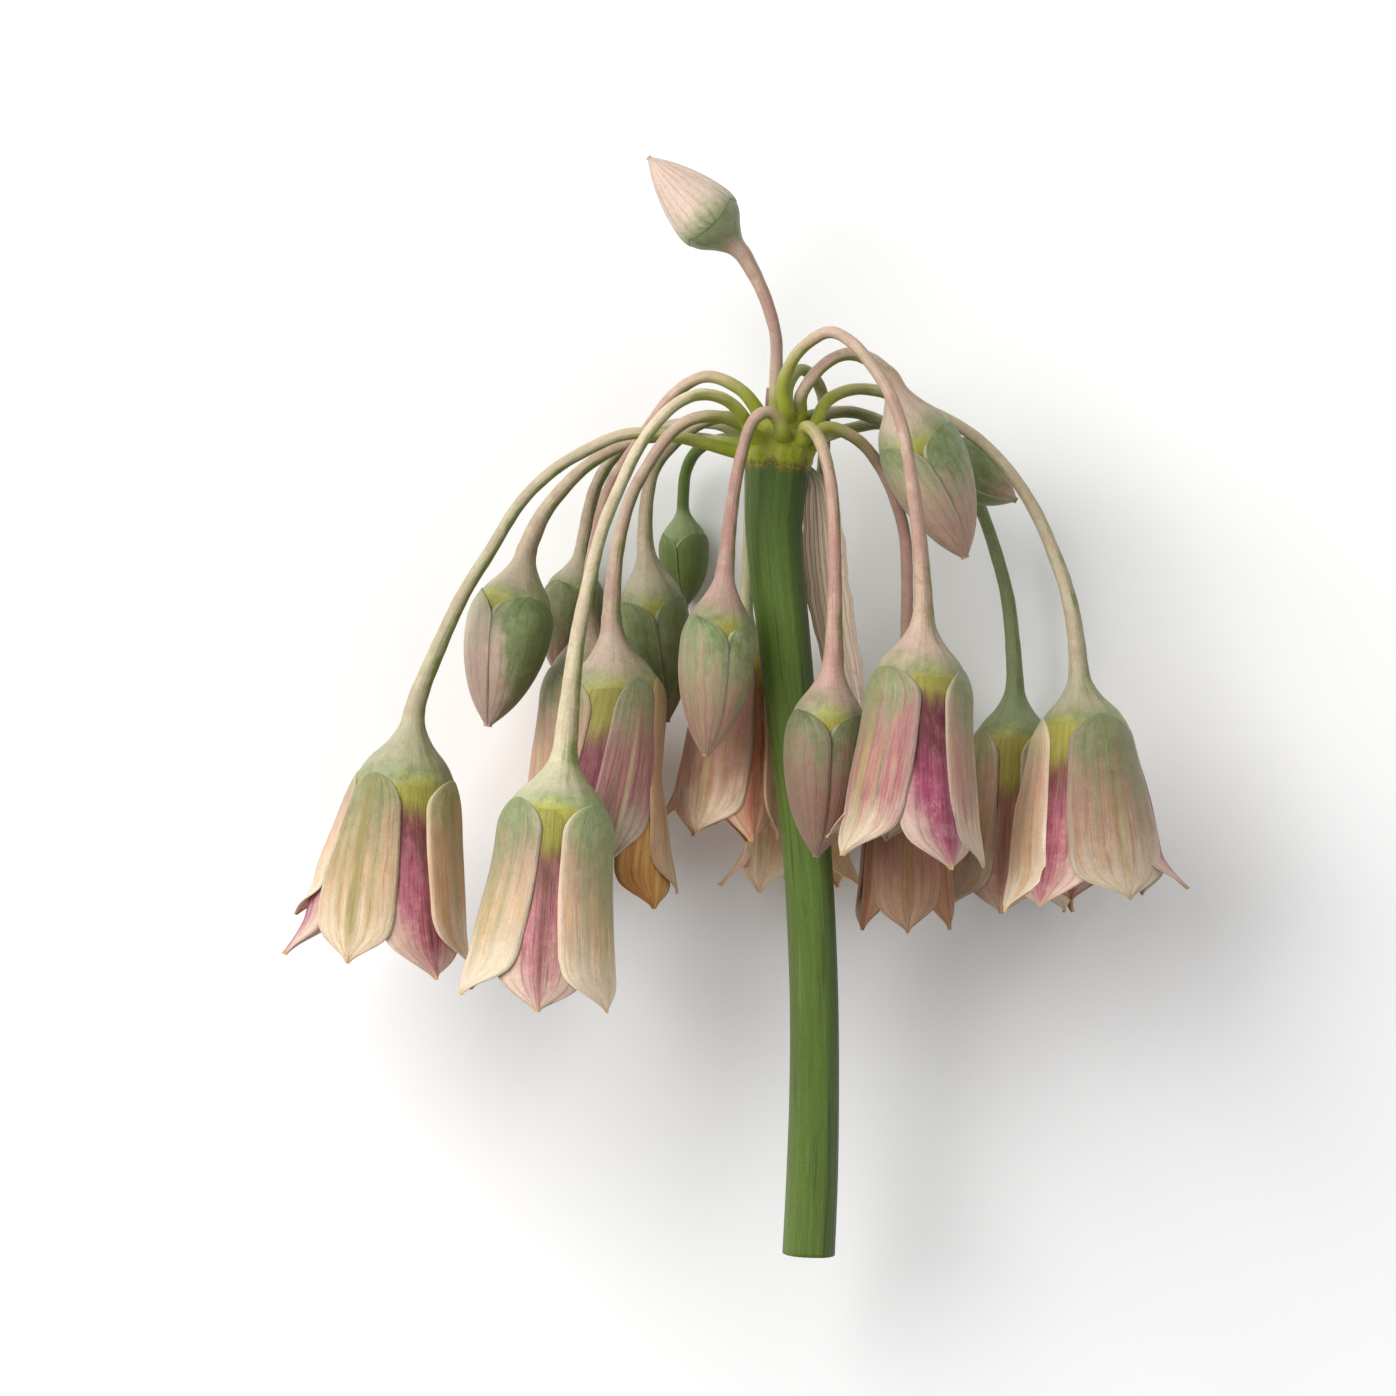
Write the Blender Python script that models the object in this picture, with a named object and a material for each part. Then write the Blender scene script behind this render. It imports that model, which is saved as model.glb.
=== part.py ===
# A cut flower head of Sicilian honey garlic, lying on its lower flowers.
#
# The stem runs along -Y a little above the surface, and the bells hang towards -Y.
# +X is right and +Z is up from the surface, towards somebody who looks down on the flower.
# Places and sizes below are in millimetres, in the part's own frame, whose origin is
# on the surface under the middle of the flower head.

import math

import bmesh
import bpy
import numpy as np
from mathutils import Vector

MM = 0.001
GAP = 0.3                  # clearance between a piece and what carries it
WALL = 0.7                 # thickness of a petal
WELD = 0.00001             # metres: points of a curve's caps this close are one point

# Stem: (x, y, z, radius) from the cut end to the top of the swollen hub
STEM = [
    (7.35, -54.9, 18.2, 2.60), (7.70, -46.9, 18.9, 2.55), (7.90, -37.8, 19.6, 2.45),
    (7.85, -28.6, 20.1, 2.40), (7.45, -18.9, 20.4, 2.40), (6.85, -11.0, 20.5, 2.42),
    (6.15, -5.2, 20.5, 2.45), (5.45, 1.0, 20.5, 2.52), (4.75, 8.0, 20.5, 2.60),
    (4.10, 14.0, 20.5, 2.72), (3.85, 18.5, 20.5, 2.85), (4.10, 22.2, 20.5, 3.08),
    (4.25, 24.4, 20.5, 3.25), (4.30, 25.8, 20.5, 3.28), (4.30, 27.1, 20.5, 2.90),
    (4.30, 28.1, 20.5, 2.05), (4.30, 28.65, 20.5, 1.10), (4.30, 28.80, 20.5, 0.50),
]
STEM_SIDES = 16
# Dry stub of a stalk that was shed, grown from the top of the hub
STUB = [(3.45, 27.6, 19.9, 0.42), (3.35, 30.2, 19.8, 0.38), (3.25, 31.9, 19.9, 0.16)]
STUB_SIDES = 6

HUB = (4.30, 25.4, 20.5)   # centre of the dome that the stalks spring from
HUB_REACH = 3.72           # from that centre to the root of a stalk
STRAIGHT_START = 0.9       # a stalk leaves the hub straight for this far

# Papery bract: (x, y, z, half width) from its root beside the hub to its tip
SPATHE = [
    (8.15, 22.6, 18.2, 1.0), (8.55, 20.4, 17.5, 1.7), (8.80, 17.4, 16.9, 2.0), (9.10, 13.8, 16.5, 2.1),
    (9.60, 10.0, 16.2, 2.1), (10.30, 6.2, 16.0, 2.0), (11.20, 2.6, 15.8, 1.6), (12.10, -0.6, 15.7, 1.0),
    (12.90, -3.2, 15.7, 0.35),
]
SPATHE_THICK = 0.6
SPATHE_ARCH = 0.7          # how far its middle stands above its edges, where it is widest
SPATHE_ACROSS = (-1.0, -0.5, 0.0, 0.5, 1.0)   # points across it, as shares of its half width

# A stalk is a smooth tube through its own route, then a cone: the base of the flower
STALK_RADIUS = 0.52
STALK_SWELL = 0.42         # a full-size flower's stalk is this much thicker where it meets the base
STALK_SWELL_POWER = 5      # the higher, the nearer to the base that swelling starts
STALK_POINTS = 15
STALK_EASE = 1.25          # above 1, the points of a stalk lie closer together near the hub
STALK_SIDES = 6
CURVE_STEPS = 16           # steps between two points of a route when it is made smooth
BASE_LENGTH = 5.0          # cone, measured along a full-size flower
BASE_PROFILE = [(0.0, 1.0), (0.4, 1.35), (0.72, 2.45), (1.0, 3.65)]   # share of its length, radius
BUD_BASE = 0.86            # a bud's base against the base of a bell of the same size

# Outside of a full-size bell: (distance below the top of the base, radius)
BELL_PROFILE = [(5.0, 3.95), (6.4, 4.65), (9.8, 5.45), (14.2, 6.35), (18.6, 7.05), (21.9, 7.45)]
BELL_LENGTH = 24.5         # top of the base to the tips of the petals
NOTCH = 2.4                # how far the tips reach past the notches between them
RIM_START = 0.8            # share of the way to the notches where the tips start to show
TIP_HALF_ANGLE = 30.0      # degrees from the middle of a petal's tip to the notch beside it
TIP_ROUNDNESS = 0.8        # below 1 the tips are rounded, at 1 their sides are straight
PETAL_STEP = 0.55          # outer petals stand this far proud of the inner ones
STEP_ANGLE = 5.0           # degrees over which that step falls
OUTER_HALF_ANGLE = [36.0, 38.0, 40.0, 38.0, 32.0, 22.0]   # half width of an outer petal, row by row
INNER_MARGIN = 4.0         # least degrees from an inner petal's middle to its visible edge
FLOOR_THICK = 1.0          # closed top of the cup

# Outside of a full-size bud, from the same starting point
BUD_PROFILE = [(5.0, 3.35), (6.6, 3.85), (9.4, 4.0), (12.4, 3.6), (15.4, 2.6), (17.7, 1.35), (19.0, 0.35)]
BUD_LENGTH = 19.3
BUD_GROOVE = 0.13          # depth of the seams between its petals, as a share of the radius
BUD_COLUMNS = 12

# Heart of a bell, in its own frame, hanging along +Z from the floor of the cup
OVARY = [(0.0, 1.1), (1.0, 1.75), (2.6, 1.9), (4.2, 1.3), (5.2, 0.5), (8.0, 0.35)]
OVARY_SIDES = 8
# One of its stamens: (distance out, height, radius)
STAMEN = [(0.9, 1.2, 0.50), (2.5, 5.0, 0.42), (2.9, 7.6, 0.34), (3.1, 9.4, 0.52)]
STAMENS = 6
STAMEN_SIDES = 4
HEART_LEAST = 0.1          # a heart's size is this much
HEART_SHARE = 0.62         # and this share of the width of its bell

# Every bell: root = (bearing, height) of its stalk on the hub in degrees, where bearing 0 faces
# up from the surface and 90 faces +X, and height 90 is along the stem. route runs to the top of
# the base at neck, and tip is the middle of the circle of petal tips. width scales the thickness
# of the cup. petals = (bearing, extra length, flare) with outer and inner petals in turn.
BELLS = {
    "far_left": dict(
        root=(-88, 2),
        route=[(-1.5, 25.9, 21.2), (-6.2, 27.0, 21.7), (-11.0, 27.2, 22.2), (-15.2, 25.4, 22.4),
               (-18.4, 23.4, 22.4), (-21.6, 20.2, 22.2), (-24.5, 15.5, 21.9), (-27.2, 11.2, 21.5),
               (-29.6, 6.1, 21.0), (-31.4, 1.9, 20.6)],
        neck=(-32.1, -0.2, 20.4), tip=(-35.1, -25.8, 20.0), width=1.03,
        petals=[(-22, 0, 0.3), (38, 0.6, 0.6), (96, -0.4, 0.4),
                (156, 0, 1.2), (-142, -1.5, 0.2), (-86, 0.2, 2.2)]),
    "front_left": dict(
        root=(-40, 22),
        route=[(1.0, 28.6, 25.4), (-0.8, 30.4, 27.4), (-3.2, 31.0, 29.2), (-5.2, 30.4, 30.6),
               (-7.2, 28.8, 31.8), (-9.6, 25.6, 33.0), (-11.5, 21.6, 34.0), (-13.2, 17.4, 34.8),
               (-14.6, 11.8, 35.4), (-15.7, 6.2, 35.8), (-16.4, 0.2, 36.0)],
        neck=(-16.9, -4.9, 36.0), tip=(-19.6, -29.1, 35.8), width=1.0,
        petals=[(-62, -0.2, 0.6), (0, 0.5, 0.2), (58, 0, 0.2),
                (120, -0.3, 0.5), (180, 0, 0.4), (-122, -0.5, 0.6)]),
    "inner_left": dict(
        root=(-62, 35),
        route=[(-1.5, 28.9, 23.2), (-4.5, 28.6, 24.0), (-7.0, 26.6, 24.2), (-9.0, 23.6, 24.0),
               (-10.3, 21.2, 23.8), (-11.2, 18.4, 23.7), (-11.8, 15.6, 23.6), (-12.2, 12.4, 23.6)],
        neck=(-12.4, 9.1, 23.6), tip=(-11.0, -17.4, 23.3), width=0.97,
        petals=[(-4, -2.0, 0.1), (30, 1.8, 0.4), (78, 0.2, 0.9),
                (134, 0, 0.4), (-160, 0, 0.3), (-96, 0, 0.3)]),
    "back_left": dict(
        root=(-70, 62),
        route=[(0.6, 31.6, 21.6), (-2.4, 33.0, 21.2), (-4.6, 32.4, 20.6), (-6.8, 30.6, 19.8),
               (-8.6, 28.1, 18.9), (-11.0, 24.6, 17.6), (-12.8, 21.6, 16.4), (-14.0, 16.6, 14.8),
               (-14.6, 12.8, 13.6)],
        neck=(-14.9, 9.6, 12.0), tip=(-14.2, -14.4, 6.4), width=0.92,
        petals=[(-60, 0, 0.3), (0, 0, 0.3), (60, 0, 0.3), (120, 0, 0.3), (180, 0, 0.3), (-120, 0, 0.3)]),
    "centre_back": dict(
        root=(-148, 52),
        route=[(2.1, 28.9, 16.2), (1.6, 26.8, 15.0), (1.5, 23.0, 14.4), (1.4, 17.0, 14.2)],
        neck=(1.1, 10.9, 14.2), tip=(-1.3, -13.0, 15.5), width=0.68,
        petals=[(-28, 0, 0.1), (32, 0.3, 0.1), (92, 0, 0.1),
                (152, 0, 0.1), (-148, 0, 0.1), (-88, -0.6, 1.0)]),
    "behind_stem": dict(
        root=(150, 70),
        route=[(5.2, 32.0, 18.0), (6.4, 33.9, 16.6), (8.0, 33.0, 15.2), (8.9, 30.8, 13.8),
               (9.0, 26.6, 12.0), (8.6, 22.0, 10.2), (7.6, 16.0, 8.2), (6.4, 10.0, 6.4)],
        neck=(5.7, 5.0, 5.4), tip=(6.2, -18.4, 4.7), width=0.70,
        petals=[(-40, 0, 0.4), (20, 0, 0.3), (80, 0.2, 1.4),
                (130, 0, 0.3), (180, 0, 0.1), (-92, -0.6, 2.4)]),
    "front_right": dict(
        root=(20, 60),
        route=[(4.6, 31.6, 23.2), (5.3, 33.8, 24.0), (6.5, 35.6, 24.8), (9.2, 37.3, 26.2),
               (11.5, 36.2, 27.4), (13.3, 34.1, 28.4), (15.1, 31.3, 29.4), (16.4, 28.0, 30.2),
               (17.1, 24.4, 30.9), (17.7, 20.3, 31.5), (18.1, 16.8, 31.9), (18.4, 13.2, 32.1)],
        neck=(18.55, 9.6, 32.3), tip=(17.1, -15.4, 32.3), width=0.93,
        petals=[(-42, 0, 0.2), (28, 0.3, 0.2), (84, 0, 0.2),
                (140, 0, 0.2), (-162, 0, 0.3), (-96, -2.0, 2.0)]),
    "low_right": dict(
        root=(65, 12),
        route=[(8.2, 27.4, 22.4), (9.6, 27.9, 22.0), (12.3, 26.6, 20.8), (14.3, 24.3, 19.6),
               (15.8, 21.3, 18.6), (16.9, 17.7, 17.6), (17.2, 14.1, 17.0), (17.2, 8.0, 16.2)],
        neck=(17.0, 1.6, 15.6), tip=(17.2, -22.4, 15.0), width=0.62,
        petals=[(0, 0, 0.0), (60, -0.2, 0.1), (120, 0, 0.0),
                (180, 0, 0.0), (-120, 0, 0.0), (-60, -0.6, 0.2)]),
    "inner_right": dict(
        root=(112, 18),
        route=[(9.2, 27.2, 16.2), (11.6, 28.0, 12.8), (15.0, 28.6, 10.2), (18.6, 27.6, 8.6),
               (21.8, 25.0, 7.6), (23.9, 22.2, 7.3), (25.3, 19.0, 7.1), (26.5, 15.4, 7.0),
               (27.6, 11.2, 6.9), (28.1, 7.0, 6.9)],
        neck=(28.4, 2.8, 6.8), tip=(27.7, -20.2, 6.0), width=0.86,
        petals=[(-62, 0, 0.4), (-8, 0.2, 0.2), (54, 0, 0.2),
                (112, 0.3, 0.6), (180, 0, 0.2), (-124, 0, 0.2)]),
    "far_right": dict(
        root=(85, 35),
        route=[(9.0, 30.5, 19.2), (11.6, 31.8, 17.6), (14.4, 31.7, 16.2), (17.0, 30.8, 15.6),
               (19.2, 29.8, 15.4), (21.8, 28.6, 15.6), (24.9, 26.4, 16.2), (27.7, 23.3, 17.0),
               (30.0, 19.7, 17.9), (31.8, 15.6, 18.7), (33.2, 11.6, 19.4), (34.0, 7.5, 20.0)],
        neck=(34.3, 4.1, 20.4), tip=(35.9, -19.0, 20.6), width=0.96,
        petals=[(18, 0.4, 0.2), (84, -0.4, 2.0), (140, 0, 0.4),
                (-164, 0, 0.3), (-104, 0, 0.2), (-42, 0.3, 0.2)]),
}

# Every bud, laid out the same way. size scales its thickness and turn is the bearing of a petal.
BUDS = {
    "top": dict(
        root=(-30, 84),
        route=[(4.0, 32.2, 20.9), (4.1, 34.8, 20.9), (4.0, 37.2, 20.9),
               (3.2, 40.2, 20.8), (2.2, 42.6, 20.6)],
        neck=(0.8, 45.2, 20.5), tip=(-8.7, 54.9, 20.4), size=0.86, turn=20),
    "left": dict(
        root=(-108, 10),
        route=[(-2.4, 26.7, 17.0), (-5.4, 27.1, 15.2), (-9.2, 27.0, 14.3), (-12.4, 25.8, 14.3),
               (-15.2, 24.0, 14.6), (-17.4, 21.8, 15.0), (-19.4, 19.2, 15.2)],
        neck=(-20.9, 16.0, 15.4), tip=(-24.9, -2.0, 15.6), size=1.02, turn=-58),
    "left_back": dict(
        root=(-138, 10),
        route=[(-1.0, 28.2, 14.8), (-4.5, 28.6, 11.8), (-8.5, 27.8, 9.0), (-12.0, 25.6, 6.6),
               (-14.0, 22.6, 4.8), (-14.9, 19.4, 3.6)],
        neck=(-15.5, 16.0, 3.0), tip=(-17.9, 3.0, 2.7), size=0.78, turn=-40),
    "back": dict(
        root=(175, 10),
        route=[(4.4, 26.5, 14.0), (3.0, 26.9, 11.8), (0.8, 27.1, 9.8), (-1.6, 27.0, 7.7),
               (-3.8, 26.0, 5.6), (-5.0, 23.8, 3.8)],
        neck=(-5.3, 20.6, 2.7), tip=(-5.0, 10.2, 1.4), size=0.60, turn=0),
    "middle_left": dict(
        root=(-118, 36),
        route=[(-0.8, 29.0, 18.6), (-3.2, 28.5, 17.9), (-5.6, 26.9, 17.1), (-8.0, 24.1, 16.5),
               (-8.9, 20.6, 16.2)],
        neck=(-9.1, 16.6, 16.0), tip=(-6.9, -1.6, 16.0), size=0.84, turn=-30),
    "front_centre": dict(
        root=(5, 25),
        route=[(4.2, 28.6, 25.0), (3.1, 29.3, 25.8), (1.6, 28.2, 26.5),
               (0.4, 24.3, 26.6), (-0.4, 19.7, 26.4)],
        neck=(-1.0, 14.0, 26.2), tip=(-3.0, -5.0, 26.0), size=1.0, turn=-32),
    "front_of_stem": dict(
        root=(38, 18),
        route=[(6.9, 27.9, 24.8), (8.0, 27.1, 26.0), (9.0, 24.5, 26.8), (9.65, 20.5, 27.1),
               (9.85, 15.0, 27.1), (9.85, 10.8, 27.0)],
        neck=(9.75, 5.1, 26.9), tip=(8.0, -15.0, 26.9), size=1.0, turn=-30),
    "upper_right": dict(
        root=(80, 62),
        route=[(6.6, 31.2, 22.0), (8.2, 33.5, 22.5), (9.9, 34.8, 22.7),
               (11.7, 35.2, 22.6), (13.6, 34.5, 22.2)],
        neck=(15.4, 32.9, 21.7), tip=(23.0, 14.8, 20.6), size=1.02, turn=40),
    "upper_right_back": dict(
        root=(118, 48),
        route=[(9.0, 29.4, 17.0), (11.8, 29.6, 14.8), (14.4, 28.8, 13.5), (16.2, 27.8, 12.9)],
        neck=(18.0, 26.8, 12.6), tip=(28.3, 20.8, 12.3), size=0.70, turn=30),
}


def start_empty():
    """Remove whatever the scene holds and make the flower's own collection."""
    for thing in list(bpy.data.objects):
        bpy.data.objects.remove(thing, do_unlink=True)
    group = bpy.data.collections.new("sicilian_honey_garlic")
    bpy.context.scene.collection.children.link(group)
    return group


def plant_material(name, color, roughness):
    """A plain surface of one colour."""
    material = bpy.data.materials.new(name)
    material.use_nodes = True
    surface = material.node_tree.nodes["Principled BSDF"]
    surface.inputs["Base Color"].default_value = (*color, 1.0)
    surface.inputs["Roughness"].default_value = roughness
    surface.inputs["Metallic"].default_value = 0.0
    material.diffuse_color = (*color, 1.0)
    return material


def add_mesh(group, name, verts, faces, material):
    """A closed mesh object from points in millimetres, split into triangles, faces out."""
    mesh = bpy.data.meshes.new(name)
    mesh.from_pydata([tuple(c * MM for c in v) for v in verts], [], faces)
    shape = bmesh.new()
    shape.from_mesh(mesh)
    bmesh.ops.recalc_face_normals(shape, faces=shape.faces)
    shape.to_mesh(mesh)
    shape.free()
    mesh.shade_smooth()
    mesh.materials.append(material)
    piece = bpy.data.objects.new(name, mesh)
    group.objects.link(piece)
    return piece


def tube(group, name, points, sides, material):
    """A closed tube along points (x, y, z, radius), as a mesh made from a bevelled curve."""
    curve = bpy.data.curves.new(name, "CURVE")
    curve.dimensions = "3D"
    curve.bevel_depth = MM
    curve.bevel_resolution = (sides - 4) // 2
    curve.use_fill_caps = True
    spline = curve.splines.new("POLY")
    spline.points.add(len(points) - 1)
    for target, (x, y, z, radius) in zip(spline.points, points):
        target.co = (x * MM, y * MM, z * MM, 1.0)
        target.radius = radius
    guide = bpy.data.objects.new(name + "_guide", curve)
    group.objects.link(guide)
    evaluated = guide.evaluated_get(bpy.context.evaluated_depsgraph_get())
    mesh = bpy.data.meshes.new_from_object(evaluated)
    bpy.data.objects.remove(guide, do_unlink=True)
    bpy.data.curves.remove(curve)
    shape = bmesh.new()
    shape.from_mesh(mesh)
    bmesh.ops.remove_doubles(shape, verts=shape.verts, dist=WELD)
    bmesh.ops.recalc_face_normals(shape, faces=shape.faces)
    shape.to_mesh(mesh)
    shape.free()
    mesh.name = name
    mesh.shade_smooth()
    mesh.materials.clear()
    mesh.materials.append(material)
    piece = bpy.data.objects.new(name, mesh)
    group.objects.link(piece)
    return piece


def fuse(piece, others):
    """Join others into piece with one Boolean union and remove them."""
    extras = bpy.data.collections.new(piece.name + "_extras")
    bpy.context.scene.collection.children.link(extras)
    for other in others:
        for owner in list(other.users_collection):
            owner.objects.unlink(other)
        extras.objects.link(other)
    union = piece.modifiers.new("union", "BOOLEAN")
    union.operation = "UNION"
    union.operand_type = "COLLECTION"
    union.collection = extras
    union.solver = "EXACT"
    evaluated = piece.evaluated_get(bpy.context.evaluated_depsgraph_get())
    mesh = bpy.data.meshes.new_from_object(evaluated)
    piece.modifiers.clear()
    piece.data = mesh
    for other in list(extras.objects):
        bpy.data.objects.remove(other, do_unlink=True)
    bpy.data.collections.remove(extras)


def smooth_route(points, count):
    """Points along a smooth curve through the given ones, closer together at its start."""
    spots = np.array(points, dtype=float)
    ends = np.vstack([2 * spots[0] - spots[1], spots, 2 * spots[-1] - spots[-2]])
    fine = []
    for a, b, c, d in zip(ends[:-3], ends[1:-2], ends[2:-1], ends[3:]):
        for t in np.linspace(0, 1, CURVE_STEPS, endpoint=False):
            fine.append(0.5 * (2 * b + (c - a) * t + (2 * a - 5 * b + 4 * c - d) * t ** 2
                               + (3 * b - a - 3 * c + d) * t ** 3))
    fine.append(spots[-1])
    fine = np.array(fine)
    run = np.concatenate([[0], np.cumsum(np.linalg.norm(np.diff(fine, axis=0), axis=1))])
    steps = run[-1] * np.linspace(0, 1, count) ** STALK_EASE
    return np.column_stack([np.interp(steps, run, fine[:, i]) for i in range(3)])


def root_on_hub(bearing, height):
    """The first two points of a stalk, which springs straight out of the hub."""
    a, e = math.radians(bearing), math.radians(height)
    out = Vector((math.cos(e) * math.sin(a), math.sin(e), math.cos(e) * math.cos(a)))
    return [tuple(Vector(HUB) + reach * out) for reach in (HUB_REACH, HUB_REACH + STRAIGHT_START)]


def flower_axes(neck, tip):
    """Unit vectors along a flower, up from the surface, and to its right."""
    along = (Vector(tip) - Vector(neck)).normalized()
    up = Vector((0, 0, 1))
    up = (up - up.dot(along) * along).normalized()
    return along, up, up.cross(along)


def length_scale(plan, full_length):
    """A flower's length as a share of a full-size one."""
    return (Vector(plan["tip"]) - Vector(plan["neck"])).length / full_length


def on_surface(point, lowest):
    """A petal that would dip below the surface is pressed flat on it."""
    return (point[0], point[1], max(point[2], lowest))


def stalk(group, name, plan, scale, base_scale, material):
    """Stalk and flower base in one piece."""
    neck = Vector(plan["neck"])
    along, _, _ = flower_axes(plan["neck"], plan["tip"])
    spots = root_on_hub(*plan["root"]) + plan["route"] + [plan["neck"]]
    route = smooth_route(spots, STALK_POINTS)
    points = []
    for step, spot in enumerate(route[:-1]):
        swell = STALK_SWELL * (step / (STALK_POINTS - 1)) ** STALK_SWELL_POWER
        points.append((*spot, STALK_RADIUS + swell * base_scale))
    for share, radius in BASE_PROFILE:
        spot = neck + along * (share * BASE_LENGTH * scale)
        points.append((*spot, radius * base_scale))
    return tube(group, name, points, STALK_SIDES, material)


def wrap(angle):
    """The angle between -180 and 180 degrees."""
    return (angle + 180.0) % 360.0 - 180.0


def bell_columns(petals, half_angle):
    """Bearings round the cup at one row, with True where the outer petal stands proud."""
    outer = [petal[0] for petal in petals[0::2]]
    inner = [petal[0] for petal in petals[1::2]]
    spans = [(outer[(i + 1) % 3] - outer[i]) % 360.0 for i in range(3)]
    halves = [min(half_angle, (span - 2 * STEP_ANGLE - 2 * INNER_MARGIN) / 2) for span in spans]
    columns = []
    for i, middle in enumerate(outer):
        before, after = halves[i - 1], halves[i]
        for bearing in (middle - before, middle - before / 2, middle, middle + after / 2, middle + after):
            columns.append((bearing, True))
        start = middle + after + STEP_ANGLE
        end = middle + spans[i] - after - STEP_ANGLE
        centre = middle + (inner[i] - middle) % 360.0
        centre = min(max(centre, start + INNER_MARGIN), end - INNER_MARGIN)
        for bearing in (start, centre, end):
            columns.append((bearing, False))
    return columns


def tip_shape(bearing, petals):
    """How much of a petal's tip shows at this bearing (1 at its middle, 0 in a notch), and that petal."""
    nearest = min(petals, key=lambda petal: abs(wrap(bearing - petal[0])))
    offset = abs(wrap(bearing - nearest[0])) / TIP_HALF_ANGLE
    return max(0.0, 1.0 - offset) ** TIP_ROUNDNESS, nearest


def bell(group, name, plan, scale, material):
    """The cup of six petals: three outer ones raised over three inner ones, with a pointed, flared rim."""
    neck = Vector(plan["neck"])
    along, up, right = flower_axes(plan["neck"], plan["tip"])
    petals = plan["petals"]
    outside, inside = [], []
    for row, (distance, radius) in enumerate(BELL_PROFILE):
        down = distance / BELL_PROFILE[-1][0]
        rim = max(0.0, (down - RIM_START) / (1.0 - RIM_START))
        skin, lining = [], []
        for bearing, proud in bell_columns(petals, OUTER_HALF_ANGLE[row]):
            shown, (_, extra, flare) = tip_shape(bearing, petals)
            reach = GAP + distance * scale + rim * shown * (NOTCH + extra)
            r = radius * plan["width"] + flare * shown * rim
            if not proud:
                r -= PETAL_STEP
            turn = math.radians(bearing)
            out = math.cos(turn) * up + math.sin(turn) * right
            skin.append(on_surface(neck + along * reach + out * r, 0.0))
            below = reach
            if row == 0:
                below = reach + FLOOR_THICK
            lining.append(on_surface(neck + along * below + out * (r - WALL), WALL))
        outside.append(skin)
        inside.append(lining)
    rows = outside + inside[::-1]
    columns = len(rows[0])
    verts = [v for row in rows for v in row]
    faces = [tuple(range(columns))[::-1]]
    for row in range(len(rows) - 1):
        for column in range(columns):
            a = row * columns + column
            b = row * columns + (column + 1) % columns
            c = a + columns
            d = b + columns
            if row < len(outside):
                faces += [(a, b, d), (a, d, c)]
            else:              # the lining runs back up, so its squares are split the other way
                faces += [(a, b, c), (b, d, c)]
    last = (len(rows) - 1) * columns
    faces.append(tuple(last + column for column in range(columns)))
    return add_mesh(group, name, verts, faces, material)


def bud(group, name, plan, scale, material):
    """Three outer petals wrapped shut: a pointed body with a seam between each two."""
    neck = Vector(plan["neck"])
    along, up, right = flower_axes(plan["neck"], plan["tip"])
    verts, faces = [], []
    for distance, radius in BUD_PROFILE:
        for column in range(BUD_COLUMNS):
            bearing = plan["turn"] + 360.0 * column / BUD_COLUMNS
            offset = abs(wrap(3 * (bearing - plan["turn"]))) / 180.0
            r = radius * plan["size"] * (1.0 - BUD_GROOVE * offset ** 2)
            turn = math.radians(bearing)
            out = math.cos(turn) * up + math.sin(turn) * right
            verts.append(on_surface(neck + along * (GAP + distance * scale) + out * r, 0.0))
    for row in range(len(BUD_PROFILE) - 1):
        for column in range(BUD_COLUMNS):
            a = row * BUD_COLUMNS + column
            b = row * BUD_COLUMNS + (column + 1) % BUD_COLUMNS
            faces += [(a, b, b + BUD_COLUMNS), (a, b + BUD_COLUMNS, a + BUD_COLUMNS)]
    faces.append(tuple(range(BUD_COLUMNS))[::-1])
    last = (len(BUD_PROFILE) - 1) * BUD_COLUMNS
    faces.append(tuple(last + column for column in range(BUD_COLUMNS)))
    return add_mesh(group, name, verts, faces, material)


def heart_mesh(group, material):
    """Ovary with its style and six stamens, fused, along +Z from the origin."""
    ovary = tube(group, "heart_shape", [(0, 0, height, radius) for height, radius in OVARY],
                 OVARY_SIDES, material)
    stamens = []
    for index in range(STAMENS):
        turn = 2 * math.pi * (index + 0.5) / STAMENS
        points = [(math.cos(turn) * out, math.sin(turn) * out, height, radius)
                  for out, height, radius in STAMEN]
        stamens.append(tube(group, "stamen", points, STAMEN_SIDES, material))
    fuse(ovary, stamens)
    mesh = ovary.data
    bpy.data.objects.remove(ovary, do_unlink=True)
    return mesh


def heart(group, name, plan, scale, mesh):
    """Hangs the shared heart in a bell, from the floor of its cup."""
    neck = Vector(plan["neck"])
    along, _, _ = flower_axes(plan["neck"], plan["tip"])
    piece = bpy.data.objects.new(name, mesh)
    group.objects.link(piece)
    piece.location = (neck + along * (GAP + BELL_PROFILE[0][0] * scale + FLOOR_THICK + GAP)) * MM
    piece.rotation_mode = "QUATERNION"
    piece.rotation_quaternion = along.to_track_quat("Z", "Y")
    size = HEART_LEAST + HEART_SHARE * plan["width"]
    piece.scale = (size, size, size)
    return piece


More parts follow.
